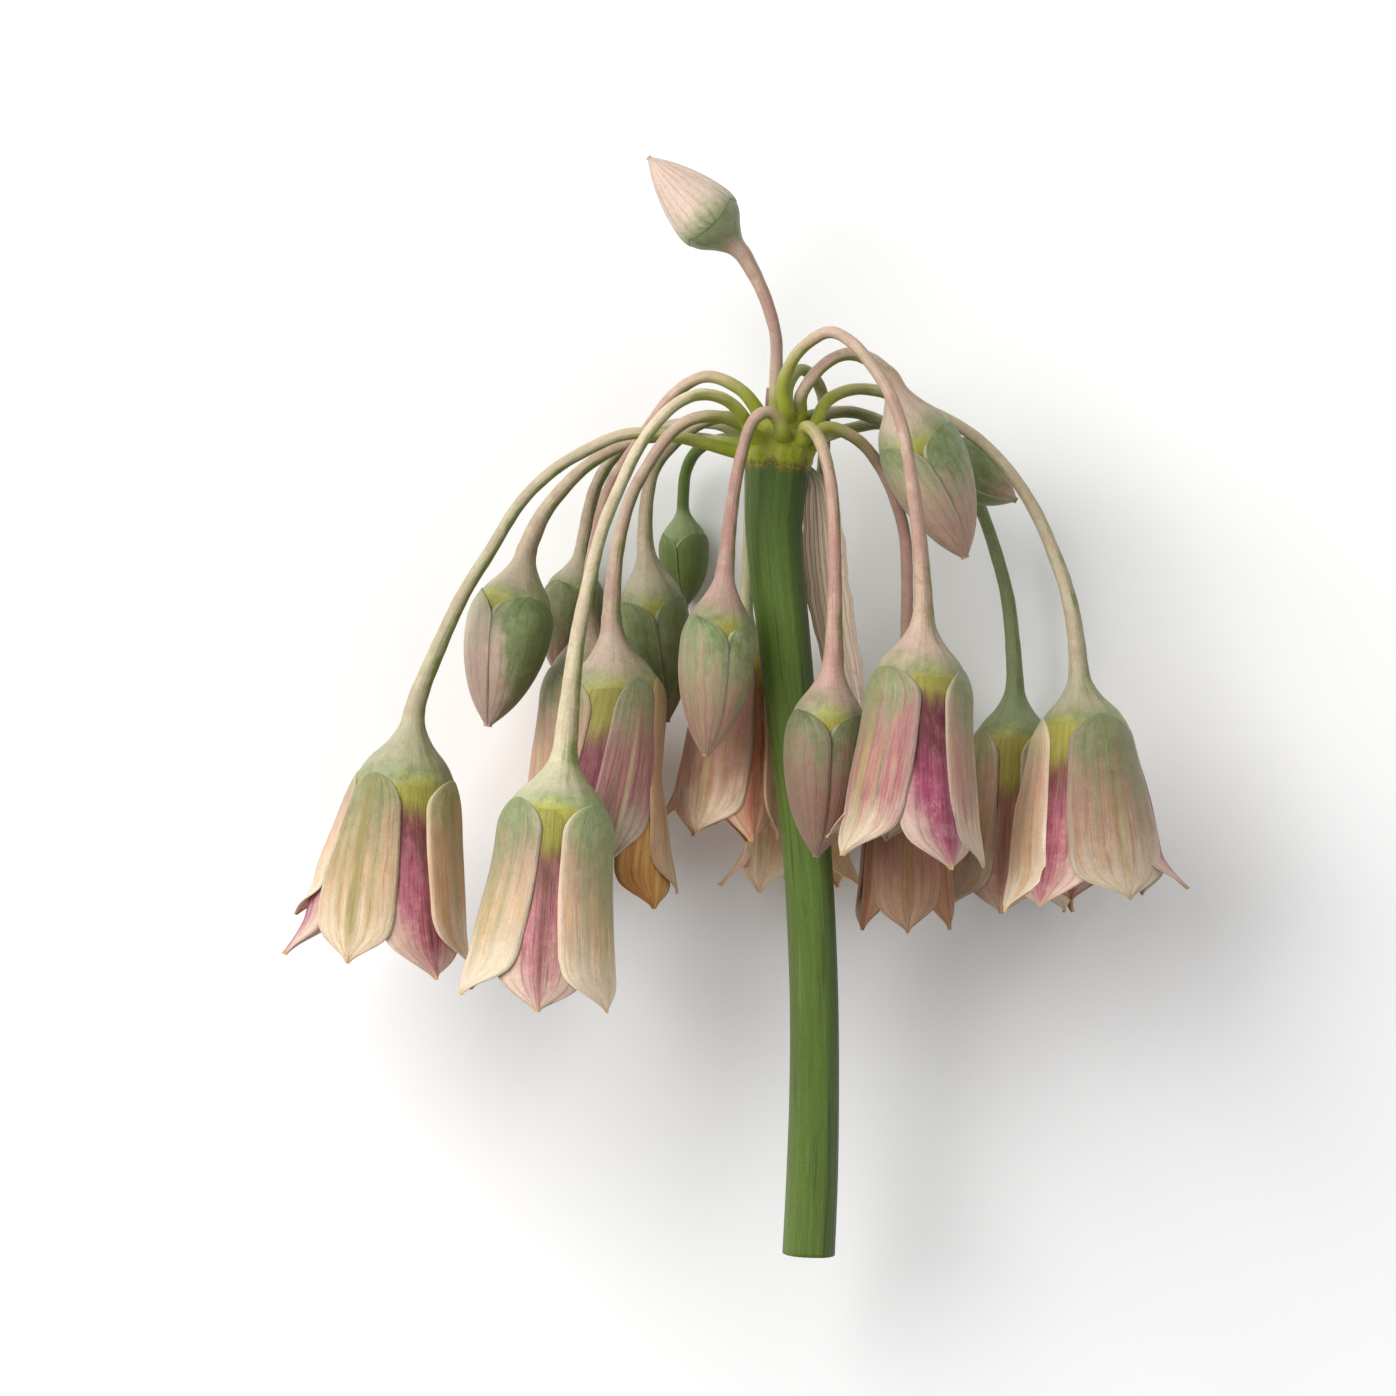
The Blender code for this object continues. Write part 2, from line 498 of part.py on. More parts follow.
def spathe(group, material):
    """A thin, arched papery blade that hangs from beside the hub."""
    widest = max(half for _, _, _, half in SPATHE)
    front, back = [], []
    for x, y, z, half in SPATHE:
        for share in SPATHE_ACROSS:
            lift = SPATHE_ARCH * (half / widest) * (1.0 - share ** 2)
            front.append((x + share * half, y, z + lift))
            back.append((x + share * half, y, z + lift - SPATHE_THICK))
    verts = front + back
    faces = []
    wide, rows = len(SPATHE_ACROSS), len(SPATHE)
    shift = len(front)
    for row in range(rows - 1):
        for column in range(wide - 1):
            a = row * wide + column
            b, c, d = a + 1, a + wide, a + wide + 1
            faces += [(a, b, d), (a, d, c)]
            faces += [(a + shift, d + shift, b + shift), (a + shift, c + shift, d + shift)]
    rim = [row * wide for row in range(rows)]
    rim += [(rows - 1) * wide + column for column in range(1, wide)]
    rim += [row * wide + wide - 1 for row in range(rows - 2, -1, -1)]
    rim += [column for column in range(wide - 2, 0, -1)]
    for here, there in zip(rim, rim[1:] + rim[:1]):
        faces += [(here, there, there + shift), (here, there + shift, here + shift)]
    return add_mesh(group, "spathe", verts, faces, material)


def build():
    group = start_empty()
    green = plant_material("stem_green", (0.16, 0.30, 0.06), 0.5)
    stalk_skin = plant_material("stalk_skin", (0.52, 0.42, 0.28), 0.55)
    petal_skin = plant_material("petal_skin", (0.70, 0.50, 0.42), 0.6)
    bud_skin = plant_material("bud_skin", (0.42, 0.40, 0.27), 0.6)
    heart_skin = plant_material("heart_skin", (0.45, 0.50, 0.20), 0.6)
    paper_skin = plant_material("paper_skin", (0.66, 0.56, 0.42), 0.75)

    scape = tube(group, "scape", STEM, STEM_SIDES, green)
    stub = tube(group, "stub", STUB, STUB_SIDES, green)
    fuse(scape, [stub])
    spathe(group, paper_skin)

    hearts = heart_mesh(group, heart_skin)
    for place, plan in BELLS.items():
        scale = length_scale(plan, BELL_LENGTH)
        stalk(group, f"bell_{place}_stalk", plan, scale, plan["width"], stalk_skin)
        bell(group, f"bell_{place}_petals", plan, scale, petal_skin)
        heart(group, f"bell_{place}_heart", plan, scale, hearts)
    for place, plan in BUDS.items():
        scale = length_scale(plan, BUD_LENGTH)
        stalk(group, f"bud_{place}_stalk", plan, scale, plan["size"] * BUD_BASE, stalk_skin)
        bud(group, f"bud_{place}_petals", plan, scale, bud_skin)


build()
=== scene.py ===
import math
import random
from types import SimpleNamespace

import bpy
import numpy as np
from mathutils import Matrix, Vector


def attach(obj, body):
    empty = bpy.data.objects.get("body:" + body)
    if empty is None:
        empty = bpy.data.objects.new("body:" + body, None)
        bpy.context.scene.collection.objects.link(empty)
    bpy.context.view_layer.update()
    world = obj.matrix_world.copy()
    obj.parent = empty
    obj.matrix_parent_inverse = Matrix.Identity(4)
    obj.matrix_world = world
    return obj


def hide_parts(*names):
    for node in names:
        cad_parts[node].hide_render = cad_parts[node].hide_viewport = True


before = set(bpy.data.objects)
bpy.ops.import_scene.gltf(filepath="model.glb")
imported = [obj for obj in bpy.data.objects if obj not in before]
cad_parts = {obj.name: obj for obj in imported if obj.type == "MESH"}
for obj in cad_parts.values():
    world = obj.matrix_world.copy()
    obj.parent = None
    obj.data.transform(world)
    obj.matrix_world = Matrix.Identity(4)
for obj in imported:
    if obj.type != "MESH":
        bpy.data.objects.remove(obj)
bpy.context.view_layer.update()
mm = 0.001
gap = 0.3              # mm between a flower's base and its petals
bellLength = 24.5      # mm from the top of the base to the petal tips, on a full-size bell
budLength = 19.3
depth = 0.76           # paint under these lamps is this much darker than it looks, and this much richer
richness = 1.12
print("flower frame loaded")

# colours as the eye sees them, 0 to 255
colours = dict(
    greyGreen=(146, 158, 118), shoulderGreen=(122, 136, 84), leafGreen=(96, 120, 54), olive=(140, 134, 76),
    rootGreen=(148, 158, 30), yellowGreen=(184, 184, 104), patchOlive=(166, 160, 82),
    brownOlive=(122, 96, 60), greenCream=(196, 192, 148), paintedShadeOlive=(116, 122, 56),
    wine=(112, 52, 62), magenta=(172, 72, 112), rosePink=(198, 122, 140), rose=(174, 98, 116),
    lobePink=(232, 198, 186), blush=(206, 164, 156), mauve=(184, 138, 130), paleMauve=(212, 190, 182),
    brownMauve=(140, 92, 72), duskBeige=(202, 166, 146), peach=(226, 196, 160), cream=(240, 222, 196),
    paleCream=(244, 232, 212), beige=(234, 214, 188), paleBase=(206, 200, 178),
    gold=(220, 186, 126), tipGold=(230, 192, 128), ochre=(214, 156, 76), ochreDark=(164, 100, 50),
    ochrePale=(226, 192, 122), budGrey=(178, 166, 134), budMauve=(184, 148, 128), frost=(238, 214, 200),
    stemGreen=(102, 126, 52), stemDark=(58, 80, 24), stemBloom=(126, 146, 86), scar=(150, 128, 58),
    paper=(240, 218, 200), paperVein=(196, 164, 144), paperSpot=(160, 134, 106),
    ovary=(150, 160, 82), thread=(222, 206, 190), anther=(214, 190, 110),
)


def paintOf(name):
    shares = [c / 255 for c in colours[name]]
    shares = [c / 12.92 if c <= 0.04045 else ((c + 0.055) / 1.055) ** 2.4 for c in shares]
    grey = sum(shares) / 3
    return (*[max(0.002, depth * (grey + richness * (c - grey))) for c in shares], 1.0)


# marks that run along a petal: stretch across and along it, then noise scale, detail and roughness
petalMarks = dict(streak=(3.2, 1.0, 1.7, 5, 0.65), fibre=(15.0, 2.2, 1.5, 5, 0.65),
                  blotch=(2.0, 4.0, 1.8, 4, 0.65))
# marks fixed to a point's own place on the flower: noise scale, detail and roughness
speckMarks = dict(grain=(4200.0, 3.0, 0.65), mottle=(750.0, 5.0, 0.7), blotch=(300.0, 4.0, 0.65),
                  stemGrain=(3600.0, 3.0, 0.7), stemPatch=(260.0, 3.0, 0.6), bractSpot=(900.0, 4.0, 0.7))


# a material's node tree, with short ways to add to it
class Finish:
    def __init__(self, name, roughness, sheen=0.1, through=0.1):
        self.material = bpy.data.materials.new(name)
        self.material.use_nodes = True
        self.tree = self.material.node_tree
        self.skin = self.tree.nodes["Principled BSDF"]
        settings = {"Roughness": roughness, "Sheen Weight": sheen, "Sheen Roughness": 0.5,
                    "Specular IOR Level": 0.35, "Subsurface Weight": through,
                    "Subsurface Radius": (1.0, 0.6, 0.4), "Subsurface Scale": 0.6 * mm}
        for socket, value in settings.items():
            self.skin.inputs[socket].default_value = value

    def node(self, kind, inputs, **settings):
        made = self.tree.nodes.new("ShaderNode" + kind)
        for name, value in settings.items():
            setattr(made, name, value)
        for socket, value in inputs.items():
            if isinstance(value, bpy.types.NodeSocket):
                self.tree.links.new(value, made.inputs[socket])
            else:
                made.inputs[socket].default_value = value
        return made

    def carried(self, name):              # three numbers that each point of the mesh carries
        made = self.node("Attribute", {}, attribute_name=name)
        split = self.node("SeparateXYZ", {0: made.outputs["Vector"]})
        return split.outputs[0], split.outputs[1], split.outputs[2]

    def maths(self, kind, a, b=0.0, c=0.0, clamp=False):
        return self.node("Math", {0: a, 1: b, 2: c}, operation=kind, use_clamp=clamp).outputs[0]

    def plus(self, a, b, clamp=False):
        return self.maths("ADD", a, b, clamp=clamp)

    def minus(self, a, b, clamp=False):
        return self.maths("SUBTRACT", a, b, clamp=clamp)

    def scaled(self, value, factor, offset=0.0, clamp=False):
        return self.maths("MULTIPLY_ADD", value, factor, offset, clamp)

    def times(self, *factors):            # product, held between 0 and 1
        result = factors[0]
        for factor in factors[1:]:
            result = self.maths("MULTIPLY", result, factor, clamp=True)
        return result

    def rise(self, value, low, high):     # 0 below low, 1 above high, smooth between
        made = self.node("MapRange", {0: value, 1: low, 2: high}, interpolation_type="SMOOTHSTEP")
        return made.outputs[0]

    def bump(self, value, width, middle=0.0):     # 1 at the middle, falling off on both sides
        away = self.maths("DIVIDE", self.minus(value, middle), width)
        return self.maths("POWER", 2.718, self.scaled(self.scaled(away, away), -1.0))

    def spread(self, value, reach):       # noise from 0..1 to -reach..reach
        return self.scaled(value, 2.0 * reach, -reach)

    def noise(self, where, scale, detail, rough):
        return self.node("TexNoise", {"Vector": where, "Scale": scale, "Detail": detail,
                                      "Roughness": rough}).outputs[0]

    def drawn(self, places, stretch, *noise):     # noise drawn out along a petal or a stalk
        spot = self.node("CombineXYZ", {i: self.scaled(places[i], stretch[i]) for i in range(3)})
        return self.noise(spot.outputs[0], *noise)

    def inPlace(self):                    # the point's own place on the flower
        return self.node("TexCoord", {}).outputs["Object"]

    def specks(self, kind):
        return self.noise(self.inPlace(), *speckMarks[kind])

    def mix(self, share, first, second):
        made = self.node("Mix", {0: share}, data_type="RGBA")
        for socket, value in ((6, first), (7, second)):
            if isinstance(value, str):
                made.inputs[socket].default_value = paintOf(value)
            else:
                self.tree.links.new(value, made.inputs[socket])
        return made.outputs[2]

    def lay(self, colour, paint, *shares):        # paint over a colour, as thick as the shares' product
        return self.mix(self.times(*shares), colour, paint)

    def ramp(self, value, stops):
        made = self.node("ValToRGB", {0: value})
        row = made.color_ramp.elements
        while len(row) < len(stops):
            row.new(0.5)
        for element, (place, colour) in zip(row, stops):
            element.position = place
            element.color = paintOf(colour)
        return made.outputs[0]

    def shade(self, colour, factor):      # colour times a number
        return self.node("VectorMath", {0: colour, 3: factor}, operation="SCALE").outputs[0]

    def speckle(self, colour, noise, reach):
        return self.shade(colour, self.scaled(noise, 2.0 * reach, 1.0 - reach))

    def done(self, colour, height, relief):       # relief is in mm
        self.tree.links.new(colour, self.skin.inputs["Base Color"])
        made = self.node("Bump", {"Height": height, "Strength": 1.0, "Distance": relief * mm})
        self.tree.links.new(made.outputs[0], self.skin.inputs["Normal"])
        return self.material


# petalPlace carries the share of the way down a petal, the place across it from -1 to 1, and a number of
# the petal's own; petalTint pinkness, greenness and stripe; petalTone lightness, warmth and dullness.
# This gives the places, and the streaks, blotches and veins that run along a petal
def petalGrain(f):
    along, across, seed = f.carried("petalPlace")
    first = f.scaled(seed, 17.0)
    later = f.plus(first, 40.0)
    drawn = {}
    for mark, shift in dict(streak=first, fibre=later, blotch=later).items():
        wide, long, *noise = petalMarks[mark]
        drawn[mark] = f.drawn((across, along, shift), (wide, long, 1.0), *noise)
    bent = f.scaled(drawn["blotch"], 2.6, f.scaled(across, 12.0))
    vein = f.maths("POWER", f.maths("ABSOLUTE", f.maths("COSINE", bent)), 9.0)
    vein = f.times(vein, f.rise(drawn["fibre"], 0.40, 0.62))
    return SimpleNamespace(along=along, across=across, side=f.maths("ABSOLUTE", across), vein=vein,
                           mottle=f.specks("mottle"), grain=f.specks("grain"), **drawn)


def petalSurface(f, colour, g):           # grain, the petal's tone and lightness, partly painted light, and relief
    light, warm, dull = f.carried("petalTone")
    ochres = f.ramp(g.streak, [(0.34, "ochreDark"), (0.50, "ochre"), (0.66, "ochrePale")])
    colour = f.mix(warm, colour, ochres)
    colour = f.mix(dull, colour, "brownMauve")
    for mark, reach in ((g.grain, 0.20), (g.fibre, 0.20), (g.blotch, 0.10), (g.mottle, 0.14)):
        colour = f.speckle(colour, mark, reach)
    # lightness: partly the flower's own tone, partly painted light and shade
    colour = f.shade(colour, light)
    height = 0.0
    for mark, share in ((g.vein, 0.3), (g.fibre, 0.6), (g.mottle, 0.7), (g.grain, 0.35)):
        height = f.scaled(mark, share, height)
    return f.done(colour, height, 0.10)


def shoulderGreens(f, mottle):
    return f.mix(f.rise(mottle, 0.30, 0.70), "shoulderGreen", "greyGreen")


def leafyGreens(f, green, share):         # the greener the flower, the less grey there is in it
    return f.mix(f.times(f.minus(1.5, green, clamp=True), share), "leafGreen", "greyGreen")


# every coat is laid over the last. The numbers in a rise are where it starts and where it is full, which
# may be the other way round, and a bare number is how strong the coat is
def outerPetalFinish():
    f = Finish("outer petal", 0.55)
    g = petalGrain(f)
    pink, green, stripe = f.carried("petalTint")
    tone = f.plus(g.along, f.spread(g.streak, 0.24))
    tone = f.plus(tone, f.spread(g.blotch, 0.16))
    colour = f.ramp(tone, [(0.0, "greyGreen"), (0.26, "duskBeige"), (0.55, "peach"), (0.80, "cream")])
    colour = f.lay(colour, "gold", f.rise(g.streak, 0.52, 0.38), f.bump(tone, 0.30, 0.58), 0.70)
    colour = f.lay(colour, "greenCream", f.rise(g.fibre, 0.46, 0.62), f.rise(g.along, 1.0, 0.6), 0.55)
    colour = f.lay(colour, "rose", f.rise(tone, 0.10, 0.42), f.rise(tone, 1.0, 0.60),
                   f.scaled(f.rise(g.fibre, 0.38, 0.60), 0.50, 0.48), f.rise(g.side, 0.0, 0.14), pink)
    colour = f.lay(colour, "mauve", f.rise(g.streak, 0.50, 0.66), f.rise(tone, 0.9, 0.4),
                   f.scaled(pink, 0.55))
    # green from the top, as far down as the petal's greenness says
    reach = f.minus(tone, f.scaled(green, 0.90, -0.16))
    reach = f.plus(reach, f.spread(g.fibre, 0.16))
    colour = f.lay(colour, shoulderGreens(f, g.mottle), f.rise(reach, 0.40, -0.26), 0.82)
    # stripes: a wide grey-green one, one on either side, and the olive rib in the middle
    colour = f.lay(colour, "greyGreen", f.bump(g.across, 0.32), f.rise(g.along, 0.95, 0.55),
                   f.rise(g.fibre, 0.40, 0.60), f.scaled(stripe, 0.55))
    colour = f.lay(colour, "greyGreen", f.bump(g.side, 0.10, 0.42), f.rise(g.along, 0.95, 0.5),
                   f.rise(g.streak, 0.36, 0.60), 0.60)
    colour = f.lay(colour, "olive", f.bump(g.across, 0.12), f.rise(g.along, 1.0, 0.80),
                   f.scaled(g.fibre, 1.2, 0.25), stripe)
    colour = f.lay(colour, "brownMauve", g.vein, 0.14)
    # pale edges: partly the petal's pale margin, partly a painted highlight along its rim
    colour = f.lay(colour, "paleCream", f.rise(g.side, 0.80, 0.98), 0.30)
    colour = f.lay(colour, "tipGold", f.rise(g.along, 0.955, 1.0), 0.7)
    return petalSurface(f, colour, g)


def innerPetalFinish():
    f = Finish("inner petal", 0.55)
    g = petalGrain(f)
    pink, green, stripe = f.carried("petalTint")
    tone = f.plus(g.along, f.spread(g.streak, 0.24))
    deep = f.ramp(tone, [(0.34, "wine"), (0.56, "magenta"), (0.84, "magenta"), (1.0, "rosePink")])
    soft = f.ramp(tone, [(0.20, "brownMauve"), (0.42, "duskBeige"), (0.70, "peach"), (1.0, "cream")])
    colour = f.mix(f.plus(pink, f.spread(g.fibre, 0.9), clamp=True), soft, deep)
    colour = f.lay(colour, "rosePink", f.rise(g.blotch, 0.46, 0.66), 0.50)
    colour = f.lay(colour, "lobePink", f.rise(g.mottle, 0.48, 0.66), f.rise(g.along, 0.4, 0.7), 0.35)
    # pale lobes either side, wider towards the tip
    lobeStart = f.scaled(f.rise(g.along, 0.40, 0.98), -0.72, 1.02)
    lobe = f.minus(f.plus(g.side, f.spread(g.streak, 0.44)), lobeStart)
    colour = f.lay(colour, f.mix(g.blotch, "lobePink", "cream"), f.rise(lobe, -0.42, 0.34), 0.85)
    # the dark middle line and veins
    colour = f.lay(colour, "wine", f.bump(g.across, 0.07), f.rise(g.along, 0.98, 0.8),
                   f.scaled(g.fibre, 1.4), 0.75)
    colour = f.lay(colour, "wine", g.vein, f.rise(g.along, 0.25, 0.45), f.rise(g.along, 1.0, 0.85), 0.35)
    colour = f.lay(colour, "brownOlive", f.bump(g.across, 0.16), f.rise(g.along, 0.95, 0.7), stripe)
    # the yellow-green patch under the flower's base, which darkens downwards
    top = f.plus(g.along, f.spread(g.streak, 0.10))
    top = f.minus(top, f.scaled(green, 0.20, -0.10))
    start = f.rise(g.along, 0.10, 0.05)
    patch = f.mix(start, f.ramp(top, [(0.15, "patchOlive"), (0.30, "brownOlive")]), "patchOlive")
    colour = f.mix(f.maths("MAXIMUM", f.rise(top, 0.34, 0.17), start), colour, patch)
    colour = f.lay(colour, "tipGold", f.rise(g.along, 0.95, 1.0), 0.7)
    return petalSurface(f, colour, g)


def budFinish():
    f = Finish("bud petal", 0.55, through=0.08)
    g = petalGrain(f)
    pink, green, stripe = f.carried("petalTint")
    tone = f.plus(g.along, f.spread(g.streak, 0.40))
    tone = f.plus(tone, f.spread(g.blotch, 0.30))
    colour = f.ramp(tone, [(0.0, "greyGreen"), (0.35, "budGrey"), (0.75, "budMauve"), (1.0, "duskBeige")])
    colour = f.lay(colour, "greyGreen", f.rise(g.mottle, 0.46, 0.66), 0.45)
    colour = f.lay(colour, "mauve", f.rise(tone, 0.10, 0.50), f.rise(g.fibre, 0.30, 0.60),
                   f.rise(g.mottle, 0.66, 0.40), pink)
    colour = f.mix(f.carried("budFrost")[0], colour, "frost")
    reach = f.minus(tone, f.scaled(green, 1.30, -0.25))
    greens = leafyGreens(f, green, f.rise(g.mottle, 0.20, 0.75))
    colour = f.lay(colour, greens, f.rise(reach, 0.34, -0.20), 0.9)
    colour = f.lay(colour, "brownMauve", g.vein, 0.16)
    colour = f.lay(colour, "shoulderGreen", f.bump(g.across, 0.14), f.rise(g.along, 1.0, 0.8),
                   f.scaled(g.fibre, 1.2, 0.2), stripe)
    # pale edges: partly the petal's pale margin, partly a painted highlight along its rim
    colour = f.lay(colour, "paleCream", f.rise(g.side, 0.90, 0.99), 0.40)
    return petalSurface(f, colour, g)


# stalkPlace carries the share of the way to the flower, how far the point faces the key lamp, and the share
# of the way down the base; stalkTint pinkness, greenness and nearness to a gap between outer petals;
# stalkTurn the direction round the stalk and the run along it in cm
def stalkFinish():
    f = Finish("stalk and flower base", 0.5, sheen=0.08, through=0.06)
    way, lampFacing, base = f.carried("stalkPlace")
    pink, green, gapNear = f.carried("stalkTint")
    grain = f.specks("grain")
    mottle = f.specks("mottle")
    blotch = f.specks("blotch")
    fibre = f.drawn(f.carried("stalkTurn"), (2.4, 2.4, 1.0), 1.8, 4, 0.6)
    # painted light and shade: lit follows the side facing the key lamp, which is painted paler and beige,
    # while the far side is painted olive and leaf green; the mauve blush on the lit side is the stalk's own
    # colour
    lit = f.plus(lampFacing, f.plus(f.spread(blotch, 0.45), f.spread(fibre, 0.30)))
    colour = f.mix(f.rise(lit, 0.42, 0.84), "paintedShadeOlive", "beige")
    rosy = f.scaled(f.rise(blotch, 0.42, 0.58), 0.45, pink, clamp=True)
    colour = f.lay(colour, "mauve", f.rise(lit, 0.20, 0.65), rosy, 0.85)
    colour = f.lay(colour, leafyGreens(f, green, f.rise(lit, 0.2, 0.85)), green, 0.85)
    # painted shade and light: olive on the side away from the key lamp, beige on the side towards it, then
    # yellow green towards the hub
    rootSide = f.mix(f.rise(lit, 0.3, 0.9), "olive", "beige")
    colour = f.lay(colour, rootSide, f.rise(way, 0.55, 0.10), 0.55)
    colour = f.mix(f.rise(f.plus(way, f.spread(fibre, 0.06)), 0.30, 0.05), colour, "rootGreen")
    # the flower's base: pale at its top, paler still on the side towards the key lamp (painted light), green
    # at its shoulder, yellow green between the outer petals
    pale = f.mix(pink, f.mix(green, "paleBase", "greyGreen"), "blush")
    colour = f.lay(colour, pale, f.rise(base, -0.1, 0.45), f.scaled(f.rise(lit, 0.30, 0.75), 0.6, 0.4),
                   f.scaled(fibre, 0.9, 0.3))
    colour = f.lay(colour, "shoulderGreen", f.rise(base, 0.1, 0.5), f.rise(mottle, 0.48, 0.66), 0.35)
    shoulder = f.rise(f.plus(base, f.spread(blotch, 0.45)), 0.60, 1.10)
    colour = f.lay(colour, shoulderGreens(f, mottle), shoulder, 0.85)
    broken = f.rise(f.plus(base, f.spread(mottle, 0.30)), 0.75, 1.15)
    patch = f.times(f.times(broken, f.rise(gapNear, 0.05, 0.70)), 0.85)
    patch = f.maths("MAXIMUM", patch, f.times(f.rise(base, 0.98, 1.11), f.rise(gapNear, 0.0, 0.2)))
    colour = f.mix(patch, colour, f.mix(f.rise(base, 0.95, 1.12), "yellowGreen", "patchOlive"))
    for mark, reach in ((grain, 0.20), (fibre, 0.18), (mottle, 0.26)):
        colour = f.speckle(colour, mark, reach)
    # lightness: partly the stalk's own tone, partly painted light for stalks lying in shadow
    colour = f.shade(colour, f.carried("petalTone")[0])
    return f.done(colour, f.scaled(fibre, 1.3, grain), 0.06)


# stemPlace carries the direction round the stem and its height in mm; stemTint shares of hub, dry stub
# and scar
def stemFinish():
    f = Finish("stem", 0.45, sheen=0.05, through=0.03)
    where = f.carried("stemPlace")
    cosine, _, height = where
    hub, dry, scar = f.carried("stemTint")
    streak = f.drawn(where, (2.2, 2.2, 0.03), 2.0, 5, 0.6)
    fibre = f.drawn(where, (15.0, 15.0, 0.15), 2.0, 3, 0.6)
    grain = f.specks("stemGrain")
    colour = f.ramp(streak, [(0.30, "stemDark"), (0.44, "stemGreen"), (0.58, "stemGreen"),
                             (0.72, "stemBloom")])
    colour = f.lay(colour, "stemBloom", f.rise(fibre, 0.45, 0.65), 0.20)
    colour = f.lay(colour, "stemDark", f.rise(height, 8.0, 23.0), 0.65)
    # painted shade: the side of the stem facing right, away from the key lamp, is painted darker
    colour = f.lay(colour, "stemDark", f.rise(cosine, 0.25, 1.0), 0.80)
    hubPaint = f.lay("rootGreen", "yellowGreen", f.rise(f.specks("stemPatch"), 0.45, 0.70), 0.6)
    colour = f.mix(f.rise(f.plus(hub, f.spread(grain, 0.5)), 0.30, 0.75), colour, hubPaint)
    colour = f.lay(colour, "scar", scar, f.rise(grain, 0.35, 0.55))
    colour = f.mix(dry, colour, f.mix(f.rise(grain, 0.3, 0.7), "paleMauve", "mauve"))
    colour = f.speckle(colour, grain, 0.24)
    colour = f.speckle(colour, fibre, 0.16)
    return f.done(colour, f.plus(f.scaled(fibre, 0.8), f.scaled(grain, 0.7)), 0.09)


def bractFinish():
    f = Finish("papery bract", 0.7, through=0.15)
    along, across, seed = f.carried("petalPlace")
    fibre = f.drawn((across, along, seed), (7.0, 1.4, 1.0), 2.0, 5, 0.6)
    veins = f.maths("POWER", f.maths("ABSOLUTE", f.maths("COSINE", f.scaled(across, 15.0))), 11.0)
    colour = f.ramp(fibre, [(0.30, "paperVein"), (0.48, "paper")])
    colour = f.lay(colour, "paperVein", veins, 0.25)
    colour = f.lay(colour, "paperSpot", f.rise(f.specks("bractSpot"), 0.58, 0.70), 0.35)
    # grey green towards its root, and all of it brightened as painted light where it lies in the stalks'
    # shadow
    colour = f.shade(f.mix(f.rise(along, 0.22, 0.0), colour, "greyGreen"), 1.3)
    return f.done(colour, f.plus(veins, f.scaled(fibre, 1.5)), 0.08)


def plainTissue(name, first, second, scale, roughness=0.5):
    f = Finish(name, roughness)
    patches = f.noise(f.inPlace(), scale, 3.0, 0.6)
    return f.done(f.mix(f.rise(patches, 0.3, 0.7), first, second), patches, 0.06)


outerPetalSkin = outerPetalFinish()
innerPetalSkin = innerPetalFinish()
budSkin = budFinish()
stalkSkin = stalkFinish()
stemSkin = stemFinish()
bractSkin = bractFinish()
ovarySkin = plainTissue("ovary", "ovary", "greyGreen", 900.0)
threadSkin = plainTissue("stamen thread", "thread", "paleMauve", 1200.0)
antherSkin = plainTissue("anther", "anther", "tipGold", 2500.0, 0.8)
print("finishes made")


def added(name, data):                    # a new object in the scene
    thing = bpy.data.objects.new(name, data)
    bpy.context.scene.collection.objects.link(thing)
    return thing


# a mesh from grids of points in mm, rows x columns x 3, with the numbers that its points carry
def gridPiece(name, grids, skins, wrap=False, caps=False, thick=0.0):
    verts, faces, faceSkins, carried = [], [], [], {}
    for grid in grids:
        points = grid["points"]
        rows, columns = points.shape[:2]
        first = len(verts)
        verts.extend((points.reshape(-1, 3) * mm).tolist())
        for key, values in grid["carried"].items():
            carried.setdefault(key, []).append(values.reshape(-1, 3))
        before = len(faces)
        for i in range(rows - 1):
            for j in range(columns if wrap else columns - 1):
                a = first + i * columns + j
                b = first + i * columns + (j + 1) % columns
                faces.append((a, b, b + columns, a + columns))
        if caps:
            last = first + (rows - 1) * columns
            faces.append(tuple(range(first + columns - 1, first - 1, -1)))
            faces.append(tuple(range(last, last + columns)))
        faceSkins += [grid.get("skin", 0)] * (len(faces) - before)
    mesh = bpy.data.meshes.new(name)
    mesh.from_pydata(verts, [], faces)
    for skin in skins:
        mesh.materials.append(skin)
    mesh.polygons.foreach_set("material_index", faceSkins)
    for key, parts in carried.items():
        layer = mesh.attributes.new(key, "FLOAT_VECTOR", "POINT")
        layer.data.foreach_set("vector", np.concatenate(parts).astype(np.float32).ravel())
    mesh.shade_smooth()
    piece = added(name, mesh)
    if thick:
        sheet = piece.modifiers.new("thickness", "SOLIDIFY")
        sheet.thickness = thick * mm
        sheet.offset = -1.0
        sheet.use_even_offset = False
        sheet.use_quality_normals = True
    return piece


def settle(piece, node):        # the piece rides with the flower and stands for that solid
    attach(piece, "root")
    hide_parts(node)


def spreadOut(shape, *values):            # three numbers for each point of a grid
    return np.stack([np.broadcast_to(v, shape) for v in values], axis=2)


# values read off a smooth curve through (place, value) pairs
def readCurve(pairs, places):
    x, y = np.array(pairs, float).T
    slope = np.gradient(y, x)
    places = np.clip(places, x[0], x[-1])
    i = np.clip(np.searchsorted(x, places) - 1, 0, len(x) - 2)
    h = x[i + 1] - x[i]
    t = (places - x[i]) / h
    return ((1 + 2 * t) * (1 - t) ** 2 * y[i] + t * (1 - t) ** 2 * h * slope[i]
            + t * t * (3 - 2 * t) * y[i + 1] + t * t * (t - 1) * h * slope[i + 1])


